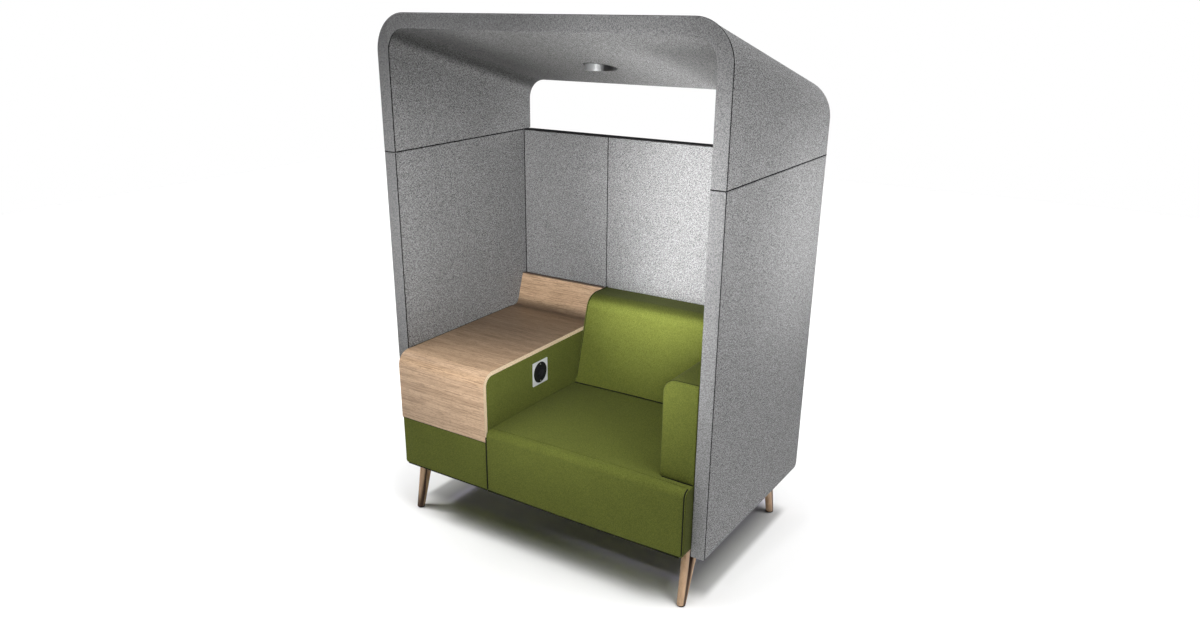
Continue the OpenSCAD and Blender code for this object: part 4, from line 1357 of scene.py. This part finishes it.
@dataclass
class Canopy:
    """The hood: one padded wall bent over two round corners, cut to a falling roof."""

    make: Builder
    sizes: BoothSizes = SIZES
    edge_r: float = 0.004
    corner_steps: int = 20
    light: Point = (-0.070, 0.11410, 1.78740)
    light_r: float = 0.0673
    light_deep: float = 0.047
    outer_sink: float = 0.0006
    left_sink: float = 0.0005
    right_sink: float = 0.0020
    roof_sink: float = 0.0032

    def stations(self) -> list[tuple[str, float]]:
        """Places along the arch: up the left side, round, over, round and down."""
        steps = self.corner_steps
        places: list[tuple[str, float]] = [("left", 0.0), ("left", 0.004)]
        places += [("left", k / 8) for k in range(1, 9)]
        places += [("left_corner", k / steps) for k in range(1, steps + 1)]
        places += [("roof", k / 16) for k in range(1, 16)]
        places += [("right_corner", k / steps) for k in range(0, steps + 1)]
        places += [("right", 1 - k / 8) for k in range(1, 8)]
        places += [("right", 0.004), ("right", 0.0)]
        return places

    def point(self, kind: str, place: float, y: float, depth: float) -> Point:
        """A point of the wall.

        Args:
            kind: which stretch of the arch.
            place: how far along that stretch, from 0 to 1.
            y: distance to the back.
            depth: distance below the outer face.

        Returns:
            The point in metres.
        """
        s = self.sizes
        r = s.corner_r
        fall = math.tan(s.slope) * (y - s.panel_y)
        scale = 1 / math.cos(s.slope)
        spring = s.front_h - fall - r * scale
        base = s.seam_z + s.joint_gap / 2
        if kind in ("left", "right"):
            x = s.half_w - depth
            z = base + place * (spring - base)
            return (-x if kind == "left" else x, y, z)
        if kind == "roof":
            half = s.half_w - r
            return (-half + 2 * half * place, y, s.front_h - fall - depth * scale)
        angle = place * math.pi / 2
        if kind == "right_corner":
            angle = math.pi / 2 - angle
        x = s.half_w - r + (r - depth) * math.cos(angle)
        z = spring + (r - depth) * math.sin(angle) * scale
        return (-x if kind == "left_corner" else x, y, z)

    def section(self) -> list[tuple[float, float]]:
        """The wall's section as distance to the back and depth below the outer face."""
        s, r = self.sizes, self.edge_r
        corners = rectangle((s.panel_y, s.rear_y), (0.0, s.panel_t), (r, r, r, r))
        return [(float(a), float(b)) for a, b in Outline(corners, pitch=0.05, steps=5).points()]

    def build(self) -> None:
        """Builds the hood's padded skin, with the downlight's hole."""
        section = self.section()
        rings = [[self.point(*station, y, d) for y, d in section] for station in self.stations()]
        mesh = self.make.skin("canopy_skin", np.array(rings))
        up = (0.0, math.sin(self.sizes.slope), math.cos(self.sizes.slope))
        mesh = self.make.drilled(mesh, self.light, up, self.light_r, self.light_deep)
        nodes = ("canopy_cover", "canopy_lining")
        self.make.padded("canopy_skin", mesh, "grey_cloth", nodes, 1.0)

    def seam_lines(self) -> list[list[Point]]:
        """Piping round both edges of the front band; the inner one sinks away over the roof."""
        y = self.sizes.panel_y + self.sizes.seam_back
        outer = [self.point(*station, y, self.outer_sink) for station in self.stations()]
        inner = []
        for kind, place in self.stations():
            high = {"roof": 1.0, "left": 0.0, "right": 0.0}.get(kind, place)
            sunk = self.right_sink if kind.startswith("right") else self.left_sink
            depth = self.sizes.panel_t - max(sunk, self.roof_sink * high)
            inner.append(self.point(kind, place, y, depth))
        return [outer, inner]


@dataclass
class Seat:
    """Seat cushion, backrest and arm."""

    make: Builder
    sizes: BoothSizes = SIZES
    seat_h: float = 0.490
    roll_r: float = 0.028
    crown: float = 0.006
    fall: float = 0.006
    crest: float = 0.130
    reach: float = 0.609
    swell: float = 0.003
    top_h: float = 0.847
    recline: float = math.radians(15.6)
    back_roll_r: float = 0.070
    back_z0: float = 0.3883
    arm_w: float = 0.134
    arm_h: float = 0.848
    arm_r: float = 0.047
    arm_foot_r: float = 0.012
    arm_z: float = 0.482
    corner_trim: float = 0.016
    groove_w: float = 0.0016
    groove_deep: float = 0.0022
    press_w: float = 0.006
    seam_rise: float = 0.0002
    gap_rise: float = 0.0012
    line_rise: float = 0.0023
    @property
    def x0(self) -> float:
        """Left edge of the seat."""
        return self.sizes.split_x + self.sizes.block_gap / 2

    @property
    def x1(self) -> float:
        """Right edge of the seat."""
        return self.sizes.inner_x - self.sizes.block_gap

    @property
    def foot_y(self) -> float:
        """Foot of the backrest."""
        return self.sizes.front_y + self.reach

    @property
    def seam_y(self) -> float:
        """Sewn line behind the rolled front edge."""
        return self.sizes.front_y + self.roll_r + 0.004

    @property
    def arm_x0(self) -> float:
        """Inner face of the arm."""
        return self.x1 - self.arm_w

    @property
    def arm_y0(self) -> float:
        """Front face of the arm."""
        return self.sizes.panel_y + 0.002

    def across(self, x: Level, x1: float) -> Level:
        """Place between the seat's left edge and x1, from -1 to 1."""
        return (x - (self.x0 + x1) / 2) / ((x1 - self.x0) / 2)

    def drop(self, y: Level) -> Level:
        """Fall of the seat's top away from its crest line."""
        far = (y - self.sizes.front_y - self.crest) / (self.reach - self.crest)
        return self.fall * far**2

    def seat_top(self, x: float, y: float) -> float:
        """Height of the seat's top at a place."""
        return self.seat_h - self.crown * self.across(x, self.x1) ** 2 - self.drop(y)

    def shape_seat(self, p: np.ndarray) -> np.ndarray:
        """Gives the seat its crown, fall, swell, seam, ripple and the arm's seat.

        Args:
            p: the points.

        Returns:
            The moved points.
        """
        s = self.sizes
        x, y, z = p.T.copy()
        t = self.across(x, self.x1)
        up = np.clip((z - s.block_z) / (self.seat_h - s.block_z), 0, 1) ** 2
        z = z - up * (self.crown * t**2 + self.drop(y))
        y = y + np.clip((s.front_y + 0.05 - y) / 0.05, 0, 1) * self.swell * t**2
        groove = np.exp(-(((p[:, 1] - self.seam_y) / self.groove_w) ** 2))
        z = z - self.groove_deep * groove * (p[:, 2] > self.seat_h - 0.01)
        z = z + ripple(p, 0.17, 0.0007, 0.4) * up * (np.abs(t) < 0.99)
        pressed = np.clip((x - self.arm_x0 + 0.004) / self.press_w, 0, 1)
        pressed = pressed * np.clip((y - self.arm_y0 + 0.004) / self.press_w, 0, 1)
        bed = self.arm_z - 0.001
        z = np.where(z > bed, z + pressed * (bed - z), z)
        z = z + corner_lift(x - self.x1 + self.corner_trim, p[:, 2], self.corner_trim)
        return np.stack((x, y, z), 1)

    def shape_back(self, p: np.ndarray) -> np.ndarray:
        """Swells the backrest's face and lowers its ends.

        Args:
            p: the points.

        Returns:
            The moved points.
        """
        x, y, z = p.T.copy()
        t = self.across(x, self.arm_x0 - self.sizes.block_gap)
        face = np.clip((self.foot_y + 0.17 - y) / 0.12, 0, 1) * np.clip((z - 0.45) / 0.06, 0, 1)
        y = y + face * (self.swell * t**2 + ripple(p, 0.21, 0.0006, 1.7))
        up = np.clip((z - 0.70) / 0.12, 0, 1)
        return np.stack((x, y, z - up * 0.0015 * t**2), 1)

    def shape_arm(self, p: np.ndarray) -> np.ndarray:
        """Slight unevenness of the arm's cloth, away from the screen."""
        inner = (p[:, 0] < self.x1 - 0.02).astype(float)
        return p + np.outer(ripple(p, 0.19, 0.0005, 2.9) * inner, (1.0, 0.0, 0.0))

    def seat_outline(self) -> Outline:
        """The seat's side view, with close rows of points at the sewn line."""
        s = self.sizes
        span = (s.front_y, self.foot_y - 0.0003)
        radii = (0.008, 0.005, 0.008, self.roll_r)
        near = [self.seam_y + k * 0.0008 for k in range(-5, 6)]
        corners = rectangle(span, (s.block_z, self.seat_h), radii)
        return Outline(corners, pitch=0.012, extra=near)

    def back_outline(self) -> Outline:
        """The backrest's side view."""
        s = self.sizes
        bottom = self.seat_h - self.fall
        top_y = self.foot_y + (self.top_h - bottom) * math.tan(self.recline)
        corners = (
            (self.foot_y, self.back_z0, 0.003),
            (s.block_rear_y, self.back_z0, 0.003),
            (s.block_rear_y, self.top_h, 0.006),
            (top_y, self.top_h, self.back_roll_r),
            (self.foot_y, bottom, 0.02),
        )
        return Outline(corners, pitch=0.012, steps=12)

    def arm_outline(self) -> Outline:
        """The arm's front view."""
        radii = (self.arm_foot_r, 0.004, 0.006, self.arm_r)
        corners = rectangle((self.arm_x0, self.x1), (self.arm_z, self.arm_h), radii)
        return Outline(corners, pitch=0.015, steps=12)

    def build(self) -> None:
        """Builds the three padded pieces."""
        x1 = self.arm_x0 - self.sizes.block_gap
        seat = SoftBlock(self.seat_outline(), Axis.X, self.x0, self.x1, 0.006, 0.007, pitch=0.012)
        back = SoftBlock(self.back_outline(), Axis.X, self.x0, x1, 0.008, 0.006, pitch=0.014)
        ends = (self.arm_y0, self.sizes.block_rear_y)
        arm = SoftBlock(self.arm_outline(), Axis.Y, *ends, 0.008, 0.004, pitch=0.02)
        for name, block, shape, node, fill_share in (
            ("seat_pad", seat, self.shape_seat, "seat_cushion", 0.9),
            ("backrest_pad", back, self.shape_back, "backrest_cushion", 0.9),
            ("arm_cover", arm, self.shape_arm, "arm_pad", 0.95),
        ):
            mesh = self.make.skin(name, block.rings(), shape)
            self.make.padded(name, mesh, "green_cloth", [node], fill_share)

    def seam_line(self) -> list[Point]:
        """Sewn line along the seat, behind its rolled front edge."""
        xs = [x for x, _, _ in straight((self.x0 + 0.01, 0, 0), (self.x1 - 0.01, 0, 0), 60)]
        y = self.seam_y + 0.0032
        return [(x, y, self.seat_top(x, self.seam_y) + self.seam_rise) for x in xs]

    def piping_lines(self) -> tuple[list[list[Point]], list[list[Point]]]:
        """Sewn edges and dark cords: thin ones up the backrest and round the arm, wider ones on the
        seat.

        Returns:
            The thin lines, and the wider ones: a seam darkened with painted shade up the seat's
                right edge, and a painted shadow line along its lower front edge.
        """
        s, r = self.sizes, self.roll_r
        x, swell = self.x1 - 0.0065, self.swell
        front: list[Point] = [
            (x, s.front_y + swell - 0.0002, s.block_z + 0.012 + k * 0.02) for k in range(12)
        ]
        centre_y, centre_z = s.front_y + r, self.seat_h - r - self.crown
        for k in range(13):
            a = math.pi - k / 12 * math.pi / 2
            y = centre_y + r * math.cos(a) + swell * (1 - k / 12)
            front.append((x, y, centre_z + r * math.sin(a)))
        back = [
            (self.x0 + 0.0085, float(y) + swell, float(z))
            for y, z in self.back_outline().points()
            if z > self.seat_h and y < s.block_rear_y - 0.002
        ]
        back.sort(key=lambda p: p[1] + p[2])
        arm = [
            (float(x), self.arm_y0 + 0.0085, float(z))
            for x, z in self.arm_outline().points()
            if z > self.arm_z + self.arm_foot_r * 0.5 and x < self.x1 - 0.001
        ]
        arm.sort(key=lambda p: p[0] + p[2])
        y, z = s.front_y + self.line_rise, s.block_z + self.line_rise
        under = [(self.x0 + 0.003, y, z), (self.x1 - self.corner_trim, y, z)]
        return [back, arm], [front, under]

    def gap_lines(self) -> list[list[Point]]:
        """Lines for dark cords of painted shade in the gaps at the backrest's foot and at the arm's
        foot.
        """
        y, rise = self.foot_y - 0.0005, self.gap_rise
        start, end = (self.x0 + 0.006, y, 0.0), (self.arm_x0, y, 0.0)
        foot = [(x, y, self.seat_top(x, y) + rise) for x, _, _ in straight(start, end, 24)]
        y, z = self.arm_y0 + 0.0008, self.arm_z + rise
        start, end = (self.arm_x0 + 0.010, y, z), (self.arm_x0 + self.arm_w - 0.004, y, z)
        return [foot, straight(start, end, 6)]


@dataclass
class Table:
    """Padded block under the bent plywood, with the socket's hole."""

    make: Builder
    sizes: BoothSizes = SIZES
    table_h: float = 0.712
    ply_t: float = 0.0165
    bend_r: float = 0.055
    drop_h: float = 0.277
    rear_y: float = 0.29
    socket_y: float = -0.094
    socket_z: float = 0.607
    hole_r: float = 0.0442
    hole_depth: float = 0.030
    corner_trim: float = 0.016
    set_back: float = 0.002
    fit: float = 0.0003

    @property
    def x0(self) -> float:
        """Left edge of the block."""
        return -self.sizes.inner_x + self.sizes.block_gap

    @property
    def x1(self) -> float:
        """Right edge of the block."""
        return self.sizes.split_x - self.sizes.block_gap / 2

    @property
    def drop_z(self) -> float:
        """Lower edge of the plywood's front drop."""
        return self.table_h - self.drop_h

    def gap_lines(self) -> tuple[list[list[Point]], list[list[Point]]]:
        """Lines for dark cords of painted shade in the gaps round the block and the plywood.

        Returns:
            Thin ones under the plywood's drop and along the screen, and wider ones
            under and beside the block.
        """
        s = self.sizes
        y, z = s.front_y + 0.0025, s.block_z + 0.0040
        under = [(self.x0 + self.corner_trim, y, z), (self.x1 - 0.003, y, z)]
        y = s.front_y + 0.0035
        beside = [(s.split_x, y, z + 0.006), (s.split_x, y, self.drop_z + 0.02)]
        y, z = s.front_y + 0.0015, self.drop_z - 0.0015
        below = [(self.x0 + 0.004, y, z), (self.x1 - 0.002, y, z)]
        x, z = -s.inner_x + 0.0008, self.table_h - 0.0005
        along = [(x, s.front_y + self.bend_r + 0.02, z), (x, self.rear_y, z)]
        return [below, along], [under, beside]

    def shape(self, p: np.ndarray) -> np.ndarray:
        """Rounds the block's lower left corner."""
        lift = corner_lift(self.x0 + self.corner_trim - p[:, 0], p[:, 2], self.corner_trim)
        return p + np.outer(lift, (0.0, 0.0, 1.0))

    def build(self) -> None:
        """Builds the padded block, with a round hole for the socket."""
        s = self.sizes
        drop = self.drop_z - 0.001
        front, behind = s.front_y + self.set_back, s.front_y + self.ply_t + self.fit
        top = self.table_h - self.ply_t - self.fit
        outline = Outline(
            (
                (front, s.block_z, 0.008),
                (s.block_rear_y, s.block_z, 0.004),
                (s.block_rear_y, top, 0.003),
                (behind, top, self.bend_r - self.ply_t - self.fit),
                (behind, drop, 0.0),
                (front, drop, 0.003),
            ),
            pitch=0.03,
        )
        block = SoftBlock(outline, Axis.X, self.x0, self.x1, 0.006, 0.0035, pitch=0.012)
        mesh = self.make.skin("table_block", block.rings(), self.shape)
        centre = (self.x1, self.socket_y, self.socket_z)
        mesh = self.make.drilled(mesh, centre, (-1.0, 0.0, 0.0), self.hole_r, self.hole_depth)
        self.make.padded("table_block", mesh, "green_cloth", ["table_cover"], 1.0)


@dataclass
class Seams:
    """Piping, stitches, and dark cords of painted shade in the gaps of every padded piece."""

    make: Builder
    screens: Screens
    canopy: Canopy
    seat: Seat
    table: Table
    screen_r: float = 0.0023
    seat_r: float = 0.0017
    gap_r: float = 0.0026
    stitch_pitch: float = 0.0055
    thread_r: float = 0.0004
    stitch_l: float = 0.0036

    def build(self) -> None:
        """Builds the dark seams of the grey cloth, the sewn rows of the green, and dark cords of
        painted shade in its gaps.
        """
        piping, stitches = SeamTree.piping(), SeamTree.stitches()
        thin, wide = self.seat.piping_lines()
        table_thin, table_wide = self.table.gap_lines()
        screens = self.screens.seam_lines() + self.canopy.seam_lines()
        gaps = self.seat.gap_lines() + wide + table_wide
        rows = [self.seat.seam_line()]
        thread = {
            "Spacing": self.stitch_pitch,
            "Thread radius": self.thread_r,
            "Stitch length": self.stitch_l,
        }
        cords = [{"Cord radius": r} for r in (self.screen_r, self.seat_r, self.gap_r)]
        for name, tree, lines, sizes, finish, slot in (
            ("screen_piping", piping, screens, cords[0], "seam_thread", "dark_cloth"),
            # The seat's piping also holds thin dark cords of painted shade under the plywood's drop
            # and along the screen.
            ("seat_piping", piping, thin + table_thin, cords[1], "green_thread", "green_cloth"),
            # Dark cords of painted shade at the backrest's foot, the arm's foot, the seat's right
            # edge, and under and beside the blocks.
            ("seat_gaps", piping, gaps, cords[2], "gap_thread", "dark_cloth"),
            ("seat_stitches", stitches, rows, thread, "green_thread", "green_cloth"),
        ):
            mesh = tree.run(name, lines, self.make.finishes[finish], sizes)
            self.make.piece(name, mesh, slot, finish=finish)


@dataclass
class Hardware:
    """CAD nodes whose form is kept: plywood, legs, light, socket and inner pieces."""

    frame: dict[str, Any]
    make: Builder
    sharp: float = math.radians(32)
    same: float = 2e-6
    turned: tuple[str, ...] = (
        "light_ring",
        "light_reflector",
        "light_rim",
        "table_top",
        "leg_front_left",
        "leg_front_right",
        "leg_rear_left",
        "leg_rear_right",
    )

    def smoothed(self, name: str, body: str, slot: str) -> None:
        """Stands a merged, smooth copy in for a CAD node with round faces.

        Args:
            name: the CAD node.
            body: the body that it rides on.
            slot: the record's material slot.
        """
        mesh = self.frame["nodes"][name].data.copy()
        work = bmesh.new()
        work.from_mesh(mesh)
        bmesh.ops.remove_doubles(work, verts=work.verts, dist=self.same)
        work.to_mesh(mesh)
        work.free()
        mesh.shade_smooth()
        mesh.set_sharp_from_angle(angle=self.sharp)
        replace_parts(self.make.piece(name + "_smooth", mesh, slot, body), name)

    def build(self) -> None:
        """Gives every kept node its finish, and the round ones their smooth copy."""
        slots = {s["node"]: s["material_slot"] for s in self.frame["record"]["subparts"]}
        for name, obj in self.frame["nodes"].items():
            material = self.make.finishes[slots[name]]
            if obj.material_slots:
                for slot in obj.material_slots:
                    slot.material = material
            else:
                obj.data.materials.append(material)
            log.info("%s: %s", name, slots[name])
        for body, names in self.frame["record"]["behaviour"]["bodies"].items():
            for name in names:
                if name in self.turned:
                    self.smoothed(name, body, slots[name])


@dataclass(frozen=True)
class Sky:
    """A broad light from one direction, in degrees, 0 at the front and 90 at the right."""

    azimuth: float
    elevation: float
    spread: float
    strength: float


@dataclass(frozen=True)
class Spot:
    """A soft studio spot: place and aim in metres, cone in degrees, power in watts."""

    place: Point
    aim: Point
    cone: float
    power: float
    size: float = 0.25


@dataclass
class Studio:
    """Floor, lamps, world and camera."""

    lens: float = 28.033
    place: Point = (1.8712, -2.9426, 2.0277)
    turn: Point = (math.radians(68.570), 0.0, math.radians(34.137))
    shift: tuple[float, float] = (0.02402, 0.04065)
    ambient: float = 0.06
    floor_half: float = 8.0
    core_tint: Colour = (0.77, 0.73, 0.97)
    brim_dark: float = 0.48
    skies: dict[str, Sky] = field(
        default_factory=lambda: {
            "overhead": Sky(0.0, 90.0, 50.0, 0.594),
            "right": Sky(90.0, 65.0, 35.0, 2.407),
            "left": Sky(-60.0, 65.0, 35.0, 1.126),
            "back": Sky(180.0, 65.0, 35.0, 0.25),
        }
    )
    spots: dict[str, Spot] = field(
        default_factory=lambda: {
            "left_crest": Spot((-1.3, -2.4, 1.7), (0.12, 0.34, 0.83), 7.0, 935.0),
            "floor_roof": Spot((0.6, -3.4, 0.4), (0.3, 0.05, 1.80), 13.0, 1060.0),
            "floor_back": Spot((0.6, -3.4, 0.4), (0.25, 0.405, 1.25), 16.0, 488.0),
            "floor_screen": Spot((0.6, -3.4, 0.4), (0.42, 0.405, 1.20), 16.0, 120.0),
            "floor_wall": Spot((0.6, -3.4, 0.4), (-0.648, 0.0, 1.2), 22.0, 104.0),
            "low_back": Spot((-0.2, -3.2, 1.0), (0.25, 0.405, 1.33), 16.0, 653.0),
            "near_back": Spot((1.9, -3.3, 1.9), (0.20, 0.405, 1.32), 16.0, 652.0),
            "near_wall": Spot((1.9, -3.3, 1.9), (-0.648, 0.0, 1.2), 22.0, 760.0),
            "near_side": Spot((1.9, -3.3, 1.9), (-0.20, -0.10, 0.58), 12.0, 620.0),
            "near_rest": Spot((1.9, -3.3, 1.9), (0.15, 0.28, 0.80), 14.0, 240.0),
            "low_upstand": Spot((-0.2, -3.2, 1.0), (-0.43, 0.33, 0.79), 8.0, 105.0),
            "low_crest": Spot((-0.2, -3.2, 1.0), (0.14, 0.34, 0.820), 5.5, 760.0),
            "high_rest": Spot((0.3, -3.0, 3.2), (0.15, 0.28, 0.80), 14.0, 310.0),
            "high_seat": Spot((0.3, -3.0, 3.2), (0.38, -0.1, 0.52), 16.0, 215.0),
            "side_screen": Spot((3.4, 0.9, 1.6), (0.7, 0.35, 1.25), 22.0, 345.0),
            "left_floor": Spot((-2.6, -0.6, 2.6), (-1.35, -0.1, 0.0), 44.0, 204.0),
            "right_floor": Spot((2.9, -1.6, 2.6), (1.7, -0.6, 0.0), 44.0, 50.0),
        }
    )

    def camera(self) -> None:
        """Sets the camera as the photo was taken."""
        data = bpy.data.cameras.new("camera")
        data.lens = self.lens
        data.sensor_width = 36.0
        data.sensor_fit = "HORIZONTAL"
        data.shift_x, data.shift_y = self.shift
        data.clip_end = 100.0
        obj = bpy.data.objects.new("camera", data)
        obj.location = self.place
        obj.rotation_euler = self.turn
        bpy.context.scene.collection.objects.link(obj)
        bpy.context.scene.camera = obj

    def floor(self) -> None:
        """A pale floor that keeps the booth's shadow, with painted shade tinted lilac under the
        booth and a painted shadow along the shadow's two sides.
        """
        half = self.floor_half
        corners = [(-half, -half, 0), (half, -half, 0), (half, half, 0), (-half, half, 0)]
        mesh = bpy.data.meshes.new("floor")
        mesh.from_pydata(corners, [], [(0, 1, 2, 3)])
        s = Surface("floor")
        x, y, _ = s.axes
        across = (x * x).sqrt()
        pale = s.mix(s.noise(3.0), (0.93, 0.93, 0.93), (0.95, 0.95, 0.95))
        # Painted shade: the floor under the booth is tinted lilac and darker, and a painted shadow
        # darkens the strips along the shadow's two sides.
        core = across.ramp(0.62, 0.50) * y.ramp(-0.34, -0.25) * y.ramp(0.60, 0.40)
        brim = across.ramp(0.52, 0.58) * across.ramp(0.69, 0.655)
        brim = brim * y.ramp(-0.36, -0.27) * y.ramp(0.48, 0.38)
        pale = s.shade(s.mix(core, pale, self.core_tint), 1.0 - brim * self.brim_dark)
        mesh.materials.append(s.finish(Base_Color=pale, Roughness=0.9, Specular_IOR_Level=0.1))
        obj = bpy.data.objects.new("floor", mesh)
        bpy.context.scene.collection.objects.link(obj)

    def lamp(self, name: str, data: bpy.types.Light, place: Vector, aim: Vector) -> None:
        """Hangs a lamp.

        Args:
            name: the lamp's name.
            data: the lamp.
            place: where it hangs.
            aim: what it points at.
        """
        obj = bpy.data.objects.new(name, data)
        obj.location = place
        obj.rotation_euler = (place - aim).to_track_quat("Z", "Y").to_euler()
        bpy.context.scene.collection.objects.link(obj)

    def light(self) -> None:
        """Lights the booth: even light over the whole floor, and spots into the cabin."""
        for name, sky in self.skies.items():
            data = bpy.data.lights.new(name, "SUN")
            data.angle = math.radians(sky.spread)
            data.energy = sky.strength
            turn, rise = math.radians(sky.azimuth), math.radians(sky.elevation)
            ahead = (math.sin(turn) * math.cos(rise), -math.cos(turn) * math.cos(rise))
            source = Vector((*ahead, math.sin(rise)))
            self.lamp(name, data, source * 6.0, Vector((0.0, 0.0, 0.0)))
        for name, spot in self.spots.items():
            data = bpy.data.lights.new(name, "SPOT")
            data.energy = spot.power
            data.shadow_soft_size = spot.size
            data.spot_size = math.radians(spot.cone)
            data.spot_blend = 1.0
            self.lamp(name, data, Vector(spot.place), Vector(spot.aim))

    def world(self) -> None:
        """White surroundings for the camera, softer ones for the light."""
        world = bpy.data.worlds.new("studio")
        world.use_nodes = True
        tree = world.node_tree
        tree.nodes.clear()
        mix = tree.nodes.new("ShaderNodeMixShader")
        out = tree.nodes.new("ShaderNodeOutputWorld")
        for place, strength in ((1, self.ambient), (2, 1.0)):
            light = tree.nodes.new("ShaderNodeBackground")
            light.inputs[0].default_value = (1, 1, 1, 1)
            light.inputs[1].default_value = strength
            tree.links.new(light.outputs[0], mix.inputs[place])
        path = tree.nodes.new("ShaderNodeLightPath")
        tree.links.new(path.outputs["Is Camera Ray"], mix.inputs[0])
        tree.links.new(mix.outputs[0], out.inputs[0])
        bpy.context.scene.world = world

    def build(self) -> None:
        """Sets up the studio."""
        bpy.context.scene.view_settings.view_transform = "Standard"
        self.camera()
        self.floor()
        self.world()
        self.light()


def main() -> None:
    """Builds the dressed booth piece by piece."""
    logging.basicConfig(level=logging.INFO, format="%(name)s %(message)s")
    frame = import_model()
    finishes = Finishes()
    finishes.build()
    make = Builder(finishes)
    Hardware(frame, make).build()
    screens, canopy, seat, table = Screens(make), Canopy(make), Seat(make), Table(make)
    for part in (screens, canopy, seat, table, Seams(make, screens, canopy, seat, table)):
        part.build()
    Studio().build()


if __name__ == "__main__":
    main()
